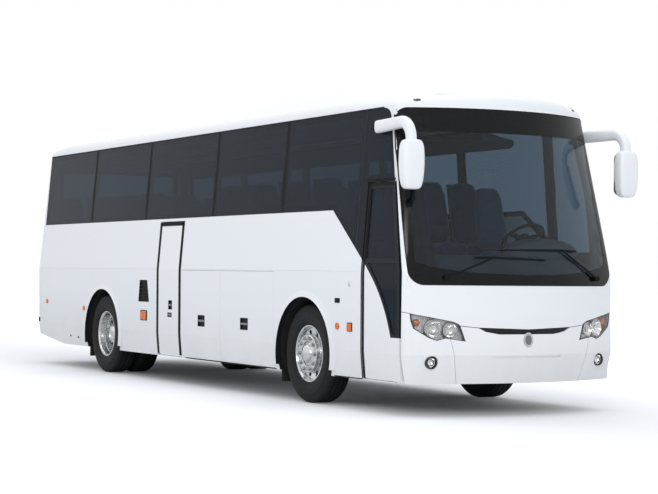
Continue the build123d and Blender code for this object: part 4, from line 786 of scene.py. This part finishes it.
def mirror_head():
    """A squared-off ellipsoid, 0.15 by 0.24 by 0.47 m, narrower toward its foot and flat behind."""
    rise, turn = np.linspace(-pi / 2, pi / 2, 41)[:, None], np.linspace(0, 2 * pi, 56, endpoint=False)
    x = 0.076 * bent(np.cos(rise), 0.34) * bent(np.cos(turn), 0.55)
    y = 0.120 * bent(np.cos(rise), 0.34) * bent(np.sin(turn), 0.42)
    z = 0.2365 * bent(np.sin(rise), 0.62) + 0 * turn
    narrow = 1 - 0.10 * np.clip(-z / 0.2365, 0, 1)
    return np.stack([5.180 + x * narrow, MIRROR_Y + y * narrow, MIRROR_Z + z], -1)


mirror_arms = surface("mirror_arms", both_sides(swan_neck()), white_paint, around=(False, True))
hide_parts("mirrors")
surface("mirror_heads", both_sides(mirror_head()), white_paint, around=(False, True))
SLEEVE = [(-0.02, 0), (-0.02, 0.060), (0.0, 0.072), (0.030, 0.070), (0.036, 0.060), (0.036, 0)]
sleeve = turned(SLEEVE, (4.405, 1.180, 2.822), (0.35, 1, 0), 32)
surface("mirror_arm_sleeves", both_sides(sleeve), seal_rubber, around=(True, False))


def rounded(half_a, half_b, corner):
    """A rectangle's outline with quarter rounds at its corners."""
    turn = np.linspace(0, pi / 2, 8)
    quarter = np.stack([half_a - corner + corner * np.cos(turn), half_b - corner + corner * np.sin(turn)], 1)
    second = np.stack([-quarter[::-1, 0], quarter[::-1, 1]], 1)
    return np.concatenate([quarter, second, -quarter, -second])


def behind_mirror(y, z, height):
    """Points behind the mirror shell's flat rear face."""
    return np.stack([MIRROR_X - height, y, z], -1)


glass_outline = rounded(0.088, 0.196, 0.050) + (MIRROR_Y, MIRROR_Z)
PANE = [(0, -0.006), (1.0, -0.006), (1.0, 0.0015), (0, 0.0015)]
PANE_EDGE = [(1.0, -0.006), (1.0, 0.0028), (1.07, 0.0028), (1.10, -0.010)]
for name, profile, material, ring_closed in (("mirror_glass", PANE, silvered, False),
                                             ("mirror_glass_edges", PANE_EDGE, seal_rubber, True)):
    grid = button(glass_outline, (MIRROR_Y, MIRROR_Z), profile, behind_mirror)
    surface(name, both_sides(grid), material, around=(True, ring_closed))

# ---------------------------------------------------------------- side marker lamps and small side fittings
# Amber acrylic lenses in black bezels along the skirt, plated locks, black vents and drains. They are
# screwed or clipped into the panels and stand a few millimetres proud.
marker_amber, tree, shader = start_material("amber_and_smoked_moulded_acrylic", "#E8640F", Roughness=0.15)
amber = speckle(tree, shader, 6, ("#D9560A", "#F5832B"), rough=(0.1, 0.22), bump_mm=0.3)
height = add(tree, "SeparateXYZ", {"Vector": add(tree, "TexCoord").outputs["Object"]})
on_roof = add(tree, "Math", {0: height.outputs["Z"], 1: 2.5}, operation="GREATER_THAN")
smoked = add(tree, "Mix", {0: on_roof, 6: amber.outputs[2], 7: srgb("#F3F5F7")}, data_type="RGBA")
tree.links.new(smoked.outputs[2], shader.inputs["Base Color"])
dress(marker_amber, "marker_lamps")
# On the roof only the lamp's body is painted white; its smoked lens is a flush oval ahead of it.
smoked_lens = speckled(
    "smoked_moulded_acrylic", "#2A2523", 6, ("#241F1D", "#35302D"), rough=(0.15, 0.28), Roughness=0.2)
LENS_PLACE, LENS_FACE = np.array((4.7306, -0.952, 3.078)), np.array((0.673, -0.472, 0.569))
lens_level = np.cross((0, 0, 1.0), LENS_FACE)
lens_level /= np.linalg.norm(lens_level)
lens_rise = np.cross(LENS_FACE, lens_level)


def on_roof_front(a, b, height):
    """Points on the plane that touches the roof at the lens, a along its level and b up its slope."""
    return (LENS_PLACE + np.asarray(a)[..., None] * lens_level + np.asarray(b)[..., None] * lens_rise
            + np.asarray(height)[..., None] * LENS_FACE)


turn = np.linspace(0, 2 * pi, 40, endpoint=False)
lens_outline = np.stack([0.040 * np.cos(turn), 0.015 * np.sin(turn)], 1)
LENS_DOME = [(0, -0.010), (1.0, -0.010), (1.0, 0.001), (0.8, 0.004), (0, 0.005)]
lenses = both_sides(button(lens_outline, (0, 0), LENS_DOME, on_roof_front))
surface("roof_marker_lenses", lenses, smoked_lens, around=(True, False))
# columns: name, x, z, half length, half height, corner, material
FITTINGS = [
    ("marker_bezel_rear", -1.233, 0.806, 0.104, 0.066, 0.022, black_trim),
    ("marker_bezel_front", 3.999, 0.833, 0.049, 0.045, 0.010, black_trim),
    ("door_switch_cover", 3.743, 1.096, 0.052, 0.025, 0.008, black_trim),
    ("door_lock", 3.985, 1.265, 0.016, 0.026, 0.0158, satin_ring),
    ("rear_socket_cover", -5.105, 0.641, 0.030, 0.030, 0.006, black_trim),
    ("drain_rear", -3.844, 0.447, 0.016, 0.016, 0.0158, black_trim),
    ("drain_front", -3.556, 0.436, 0.016, 0.016, 0.0158, black_trim),
]
for name, x, z, half_length, half_height, corner, material in FITTINGS:
    outline = rounded(half_length, half_height, corner) + (x, z)
    shape = [(0, -0.003), (1.0, -0.003), (1.0, 0.003), (0.88, 0.006), (0, 0.006)]
    if "bezel" in name:
        shape = [(1.0, -0.003), (1.0, 0.004), (0.96, 0.0065), (0.86, 0.0065), (0.84, 0.002), (0.84, -0.003)]
    grids = [button(outline, (x, z), shape, wall(side)) for side in ((-1, 1) if "bezel" in name else (-1,))]
    surface(name, np.stack(grids), material, around=(True, "bezel" in name))

# ---------------------------------------------------------------- door handles and the battery vent
# Black nylon pockets let into the flaps and the mid door, each with a grey pull handle, and a black
# moulded vent with slats behind the mid door's flap.
handle_grey = speckled(
    "grey_painted_zinc_casting", "#7B8084",
    12, ("#70757A", "#868B8F"), rough=(0.32, 0.46), bump_mm=0.05, Roughness=0.38)
# columns: name, body, x from, x to, z from, z to
POCKETS = [
    ("flap_right_rear", "luggage_flap_right_rear", 0.394, 0.576, 0.723, 0.852),
    ("flap_right_front", "luggage_flap_right_front", 1.529, 1.711, 0.723, 0.852),
    ("flap_left_rear", "luggage_flap_left_rear", 0.394, 0.576, 0.723, 0.852),
    ("flap_left_front", "luggage_flap_left_front", 1.529, 1.711, 0.723, 0.852),
    ("mid_door_high", "mid_door_leaf", -0.467, -0.363, 0.901, 1.009),
    ("mid_door_low", "mid_door_leaf", -0.491, -0.372, 0.807, 0.860),
]
LINER = [(0, -0.0120), (0.965, -0.0120), (0.965, 0.0015), (1.045, 0.0015), (1.045, -0.0010), (0.990, -0.0010),
         (0.990, -0.0135), (0, -0.0135)]
PULL = [(0, -0.012), (1.0, -0.012), (1.0, 0.0022), (0.90, 0.0042), (0, 0.0042)]
for name, body, x0, x1, z0, z1 in POCKETS:
    side = 1 if "left" in name else -1
    middle = ((x0 + x1) / 2, (z0 + z1) / 2)
    outline = rounded((x1 - x0) / 2, (z1 - z0) / 2, 0.006) + middle
    surface(f"{name}_pocket", button(outline, middle, LINER, wall(side)), black_trim, body, (True, False))
    bar = rounded((x1 - x0) / 2 - 0.013, 0.012, 0.005) + middle
    surface(f"{name}_pull", button(bar, middle, PULL, wall(side)), handle_grey, body, (True, False))
INLET = np.array([(-1.404, 0.982), (-1.076, 0.982), (-1.135, 1.250), (-1.360, 1.250)])
INLET_MIDDLE = (-1.244, 1.116)


def divided(outline, count):
    """A closed outline with each of its edges cut into equal parts."""
    share = np.linspace(0, 1, count, endpoint=False)[:, None]
    return np.concatenate([a + (b - a) * share for a, b in zip(outline, np.roll(outline, -1, 0))])


outline = divided(INLET, 12)
surface("battery_vent_frame", button(outline, INLET_MIDDLE, [(0, -0.0165), (0.97, -0.0165), (0.97, 0.002),
        (1.03, 0.002), (1.03, -0.001), (0.99, -0.001), (0.99, -0.0178), (0, -0.0178)], wall(-1)), black_trim,
        around=(True, False))
slats = []
for middle_z in 0.982 + 0.268 / 6 * (np.arange(6) + 0.5):
    x0 = np.interp(middle_z, INLET[[0, 3], 1], INLET[[0, 3], 0]) + 0.004
    x1 = np.interp(middle_z, INLET[[1, 2], 1], INLET[[1, 2], 0]) - 0.004
    run = np.linspace(x0, x1, 12)
    lower, upper = np.full(12, middle_z - 0.0085), np.full(12, middle_z + 0.0085)
    slats.append(ribbon(np.stack([run, lower], 1), np.stack([run, upper], 1), wall(-1), 0.0032, 0.0165))
surface("battery_vent_slats", np.stack(slats), black_trim, around=(False, True))

# ---------------------------------------------------------------- rear lamps, plate and roof fans
# Three acrylic lenses a side in moulded clusters, a blank painted plate, and the two cooling fans of the
# roof unit under wire guards.
tail_lens, tree, shader = start_material("three_coloured_acrylic_lenses", "#8E0E10", Roughness=0.12)
shader.inputs["Coat Weight"].default_value = 0.6
apart = add(tree, "SeparateXYZ", {"Vector": add(tree, "TexCoord").outputs["Object"]})
colour = srgb("#D8DADB")
for height, tint in ((0.994, "#D9690F"), (1.184, "#9C0F12")):
    above = add(tree, "Math", {0: apart.outputs["Z"], 1: height}, operation="GREATER_THAN")
    colour = add(tree, "Mix", {0: above, 6: colour, 7: srgb(tint)}, data_type="RGBA").outputs[2]
tree.links.new(colour, shader.inputs["Base Color"])
ridges = add(tree, "TexWave", {"Vector": add(tree, "TexCoord").outputs["Object"],
                               "Scale": 12.0, "Distortion": 0.0}, bands_direction="Z")
relief = add(tree, "Bump", {"Height": ridges.outputs[1], "Distance": 0.0015, "Strength": 0.7})
tree.links.new(relief.outputs[0], shader.inputs["Normal"])
dress(tail_lens, "tail_lamps")


def rear(y, z, proud):
    """Points on the gently bowed rear end, whose arc has a radius of 14 m."""
    return np.stack([-5.2993 + y ** 2 / 28.0 - proud, y, z], -1)


rear_outline, rear_opening = (divided(rounded(*sizes) + (0, 2.460), 24)
                              for sizes in ((0.953, 0.403, 0.012), (0.912, 0.362, 0.050)))
surface("rear_window_border", ribbon(rear_outline, rear_opening, rear, 0.0, 0.006, True, 3), screen_enamel)
plate_white = speckled(
    "white_enamelled_aluminium_plate", "#ECEDEC",
    70, ("#E4E5E3", "#F2F3F2"), rough=(0.24, 0.4), Roughness=0.3)
PLATE = [(0, -0.0190), (1, -0.0190), (1, -0.0150), (0, -0.0150)]
plate = button(rounded(0.258, 0.056, 0.010) + (0, 0.621), (0, 0.621), PLATE, rear)
surface("rear_plate_blank", plate, plate_white, around=(True, False))
FAN_X, FAN_TOP = (1.220, 2.220), 3.3400
rings, spokes, fan_blades = [], [], []
wire = [(0.0028 * cos(a), 0.0028 * sin(a)) for a in np.linspace(0, 2 * pi, 8, endpoint=False)]
for fan_x in FAN_X:
    for radius in (0.100, 0.135, 0.170, 0.205, 0.240, 0.256):
        rings.append(turned([(h, radius + r) for h, r in wire], (fan_x, 0, FAN_TOP), (0, 0, 1), 64))
    along = np.linspace(0.085, 0.258, 6)
    for a in 2 * pi * np.arange(8) / 8:
        radial, aside = np.array([cos(a), sin(a), 0]), np.array([-sin(a), cos(a), 0])
        centre = np.array([fan_x, 0, FAN_TOP - 0.004]) + along[:, None] * radial
        spokes.append(np.stack([centre + r * aside + (0, 0, h) for h, r in wire], 1))
    for a in 2 * pi * np.arange(7) / 7:
        reach = np.linspace(0.080, 0.236, 8)
        pitch = np.interp(reach, (0.080, 0.236), (0.9, 0.5))
        sweep = np.linspace(-0.5, 0.5, 7)[None, :] * 0.62
        angle = a + sweep
        height = FAN_TOP - 0.0135 + sweep * 0.010 * pitch[:, None]
        top = np.stack([fan_x + reach[:, None] * np.cos(angle), reach[:, None] * np.sin(angle), height], -1)
        fan_blades.append(np.concatenate([top, top[:, ::-1] - (0, 0, 0.0025)], 1))
surface("fan_guard_rings", np.stack(rings), chassis_paint)
surface("fan_guard_spokes", np.stack(spokes), chassis_paint, around=(False, True))
surface("fan_blades", np.stack(fan_blades), black_trim, around=(False, True))

# ---------------------------------------------------------------- dashboard and steering wheel
# A soft grained moulding in dark grey across the nose, with the driver's hood and a moulded wheel.
dash_skin = speckled(
    "grained_vinyl_skin_moulded", "#3A3E43",
    4, ("#3B4148", "#4C535B"), rough=(0.5, 0.68), bump_mm=0.2, Roughness=0.6)
# columns: distance behind the nose, height
DECK = np.array([(-0.060, 1.300), (-0.060, 1.392), (-0.200, 1.480), (-0.400, 1.552), (-0.470, 1.566),
                 (-0.500, 1.545), (-0.520, 1.420), (-0.600, 1.220), (-0.480, 1.000), (-0.300, 1.000)])
deck_y = np.linspace(-1.06, 1.06, 33)
deck_x = nose(deck_y, 1.40)[:, 0]
deck = np.stack([deck_x[:, None] + DECK[:, 0], np.broadcast_to(deck_y[:, None], (33, 10)),
                 np.broadcast_to(DECK[:, 1], (33, 10))], -1)
dash_deck = surface("dashboard_deck", with_ends(deck), dash_skin, around=(False, True), crease=40)
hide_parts("dashboard")
rise, turn = np.linspace(-pi / 2, pi / 2, 25)[:, None], np.linspace(0, 2 * pi, 48, endpoint=False)
hump = np.stack([4.735 + 0.150 * np.cos(rise) * np.cos(turn), 0.540 + 0.470 * np.cos(rise) * np.sin(turn),
                 1.585 + 0.165 * bent(np.sin(rise), 0.9) + 0 * turn], -1)
surface("instrument_hood", hump, dash_skin, around=(False, True))
# The wheel's plane leans back by 40 degrees; its rim, spokes and boss are one moulding over steel.
WHEEL_PLACE, LEAN = np.array((4.460, 0.530, 1.745)), radians(40)
wheel_axis = np.array((-sin(LEAN), 0, cos(LEAN)))
rim_ring = [(0.016 * sin(a), 0.225 + 0.016 * cos(a)) for a in np.linspace(0, 2 * pi, 12, endpoint=False)]
surface("steering_wheel_rim", turned(rim_ring, WHEEL_PLACE, wheel_axis, 64), black_trim)
WHEEL_BOSS = [(-0.05, 0), (-0.05, 0.04), (0.0, 0.075), (0.018, 0.070), (0.026, 0.03), (0.027, 0)]
WHEEL_COLUMN = [(-0.42, 0), (-0.42, 0.036), (-0.04, 0.036), (-0.04, 0)]
for name, profile, turns in (("steering_wheel_boss", WHEEL_BOSS, 48), ("steering_column", WHEEL_COLUMN, 24)):
    surface(name, turned(profile, WHEEL_PLACE, wheel_axis, turns), black_trim, around=(True, False))
spokes = []
down_wheel = np.array((cos(LEAN), 0, sin(LEAN)))
for angle in (0.35, pi - 0.35, -pi / 2):
    ray = sin(angle) * down_wheel + cos(angle) * np.array((0, 1.0, 0))
    edge = np.cross(wheel_axis, ray)
    run = np.linspace(0.05, 0.222, 8)[:, None]
    half = 0.030 - 0.070 * (run - 0.05)
    centre = WHEEL_PLACE + run * ray
    corners = [centre + wide * edge * half + high * wheel_axis * 0.007
               for wide, high in ((1, 1), (-1, 1), (-1, -1), (1, -1))]
    spokes.append(np.stack(corners, 1))
surface("steering_wheel_spokes", np.stack(spokes), black_trim, around=(False, True), crease=30)

# ---------------------------------------------------------------- seats
# Foam pads upholstered in woven moquette, on steel plinths with moulded shells behind. The cover is
# stretched over the foam, so each pad is crowned and drawn in along its seams.
moquette, tree, shader = start_material("woven_wool_moquette", "#34445A", Roughness=0.9)
speckle(tree, shader, 5, ("#2A394D", "#415570"), rough=(0.85, 0.97), bump_mm=0.5)
shader.inputs["Sheen Weight"].default_value = 0.3
seat_shell = speckled(
    "textured_polypropylene_moulded", "#4C5157",
    6, ("#474C52", "#555B61"), rough=(0.5, 0.64), bump_mm=0.1, Roughness=0.55)
TOP_NARROW, PAD_SQUARE, SEAM_WIDTH, STRETCH = 0.30, 0.32, 0.014, 0.022


def pad_form(half_sizes, middle, lean, narrow):
    """A squared-off ellipsoid: cosines and sines are raised to a small power, its top is narrowed by a
    share that grows with the square of the height, and it leans back by an angle."""
    rise, turn = np.linspace(-pi / 2, pi / 2, 25)[:, None], np.linspace(0, 2 * pi, 48, endpoint=False)
    x = half_sizes[0] * bent(np.cos(rise), PAD_SQUARE) * bent(np.cos(turn), PAD_SQUARE)
    y = half_sizes[1] * bent(np.cos(rise), PAD_SQUARE) * bent(np.sin(turn), PAD_SQUARE)
    z = half_sizes[2] * bent(np.sin(rise), PAD_SQUARE) + 0 * turn
    y = y * (1 - narrow * np.clip(z / half_sizes[2], 0, 1) ** 2)
    return np.stack([x * cos(lean) - z * sin(lean), y, x * sin(lean) + z * cos(lean)], -1) + np.array(middle)


def stuffed(name, points, voxel, seams):
    """The form remeshed evenly and blown up as cloth by an inner pressure, no point moving further than
    the cover's stretch, and then drawn in along its seams. Gives its points and faces."""
    piece = surface(name, points, moquette, around=(False, True))
    remesh = piece.modifiers.new("even_mesh", "REMESH")
    remesh.mode, remesh.voxel_size = "VOXEL", voxel
    graph = bpy.context.evaluated_depsgraph_get()
    mesh = bpy.data.meshes.new_from_object(piece.evaluated_get(graph))
    piece.modifiers.clear()
    piece.data = mesh
    before = np.empty(3 * len(mesh.vertices), np.float32)
    mesh.vertices.foreach_get("co", before)
    after = before
    cloth = piece.modifiers.new("cover", "CLOTH")
    cloth.settings.use_pressure = True
    cloth.settings.uniform_pressure_force = 4.0
    cloth.settings.effector_weights.gravity = 0.0
    for frame_number in range(1, 21):
        bpy.context.scene.frame_set(frame_number)
    graph = bpy.context.evaluated_depsgraph_get()
    blown = piece.evaluated_get(graph)
    after = np.empty_like(before)
    blown.to_mesh().vertices.foreach_get("co", after)
    blown.to_mesh_clear()
    piece.modifiers.clear()
    bpy.context.scene.frame_set(1)
    before, after = before.reshape(-1, 3), after.reshape(-1, 3)
    move = after - before
    length = np.linalg.norm(move, axis=1, keepdims=True)
    after = before + move * np.minimum(1, STRETCH / np.maximum(length, 1e-9))
    middle = after.mean(0)
    for axis, place, depth in seams:
        near = np.exp(-((after[:, axis] - place) / SEAM_WIDTH) ** 2)[:, None]
        inward = np.array([(0, 0, 1), (1, 0, 0), (1, 0, 0)][axis])
        after = after - near * depth * np.sign(after - middle) * inward
    faces = np.array([tuple(face.vertices) for face in mesh.polygons])
    bpy.data.objects.remove(piece)
    return after, faces


def placed(name, pads, places, subdivide=0, body="coach"):
    """Copies of the pads at each place, joined into one upholstered piece."""
    points, faces, count = [], [], 0
    for place in places:
        for pad_points, pad_faces in pads:
            points.append(pad_points + np.array(place))
            faces.append(pad_faces + count)
            count += len(pad_points)
    mesh = bpy.data.meshes.new(name)
    mesh.from_pydata(np.concatenate(points).tolist(), [], np.concatenate(faces).tolist())
    mesh.shade_smooth()
    mesh.materials.append(moquette)
    piece = bpy.data.objects.new(name, mesh)
    bpy.context.collection.objects.link(piece)
    if subdivide:
        softer = piece.modifiers.new("softer", "SUBSURF")
        softer.levels = softer.render_levels = subdivide
    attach(piece, body)
    return piece


CUSHION = stuffed("cushion_form", pad_form((0.232, 0.200, 0.060), (-0.005, 0, 0.345), 0.0, 0.0), 0.020,
                  [(0, 0.10, 0.008)])
BACK = stuffed("back_form", pad_form((0.048, 0.200, 0.355), (-0.262, 0, 0.775), radians(11.4), TOP_NARROW),
               0.020, [(2, 0.98, 0.008), (2, 0.62, 0.006)])
SALOON_FLOOR, DRIVER_FLOOR, PODIUM = 1.170, 0.840, 0.120
rows = 3.180 - 0.780 * np.arange(9)
right_rows = [x for x in rows if not -1.08 < x < 0.42]
right_places = [(x, -y, SALOON_FLOOR + PODIUM) for x in right_rows for y in (0.415, 0.855)]
left_places = [(x, y, SALOON_FLOOR + PODIUM) for x in rows for y in (0.415, 0.855)]
rear_places = [(-4.560, 0.432 * n, 1.330) for n in (-2, -1, 0, 1, 2)]
right_seats = placed("passenger_seats_right", [CUSHION, BACK], right_places)
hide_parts("passenger_seats")
placed("passenger_seats_left", [CUSHION, BACK], left_places)
placed("passenger_seats_rear", [CUSHION, BACK], rear_places)
driver = placed("driver_seat_pads", [CUSHION, BACK], [(4.000, 0.610, DRIVER_FLOOR + 0.360)], 1)
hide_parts("driver_seat")


def slab(x_profile, z_profile, y0, y1):
    """A closed block with a side outline (x, z) and flat ends at two widths."""
    middle = (np.mean(x_profile), np.mean(z_profile))
    outline = np.stack([x_profile, z_profile], 1)
    rows = [(0, y0), (1, y0), (1, y1), (0, y1)]
    plan = np.array(middle) + (outline - middle)[:, None] * np.array([s for s, _ in rows])[None, :, None]
    return np.stack([plan[..., 0], np.broadcast_to([y for _, y in rows], plan.shape[:2]), plan[..., 1]], -1)


plinths, shells = [], []
for x, y, z in right_places + left_places + rear_places:
    plinths.append(slab(np.array([-0.19, 0.08, 0.12, -0.21]) + x, np.array([-0.12, -0.12, 0.285, 0.285]) + z,
                        y - 0.15, y + 0.15))
    shells.append(slab(np.array([-0.262, -0.235, -0.395, -0.412]) + x, np.array([0.33, 0.33, 1.09, 1.09]) + z,
                       y - 0.17, y + 0.17))
surface("seat_plinths", np.stack(plinths), chassis_paint, around=(True, False), crease=30)
surface("seat_back_shells", np.stack(shells), seat_shell, around=(True, False), crease=30)
DRIVER_PEDESTAL = [(0, 0), (0, 0.20), (0.02, 0.20), (0.05, 0.15), (0.14, 0.17), (0.22, 0.14), (0.30, 0.17),
                   (0.44, 0.14), (0.61, 0.19), (0.63, 0.19), (0.63, 0)]
surface("driver_seat_pedestal", turned(DRIVER_PEDESTAL, (3.995, 0.610, DRIVER_FLOOR), (0, 0, 1)), seal_rubber,
        around=(True, False))

# ---------------------------------------------------------------- luggage racks
# Moulded racks in dark grained plastic, hung from the roof over the seats along both sides.
RACK = np.array([(0.640, 2.890), (0.660, 2.850), (1.040, 2.760), (1.090, 2.800), (1.080, 2.850),
                 (0.690, 2.930)])
racks = []
for side in (-1, 1):
    ends = [(0, -4.700), (1, -4.700), (1, 3.500), (0, 3.500)]
    plan = RACK.mean(0) + (RACK - RACK.mean(0))[:, None] * np.array([s for s, _ in ends])[None, :, None]
    racks.append(np.stack([np.broadcast_to([x for _, x in ends], plan.shape[:2]), side * plan[..., 0],
                           plan[..., 1]], -1))
surface("luggage_racks", np.stack(racks), seat_shell, around=(True, False), crease=30)
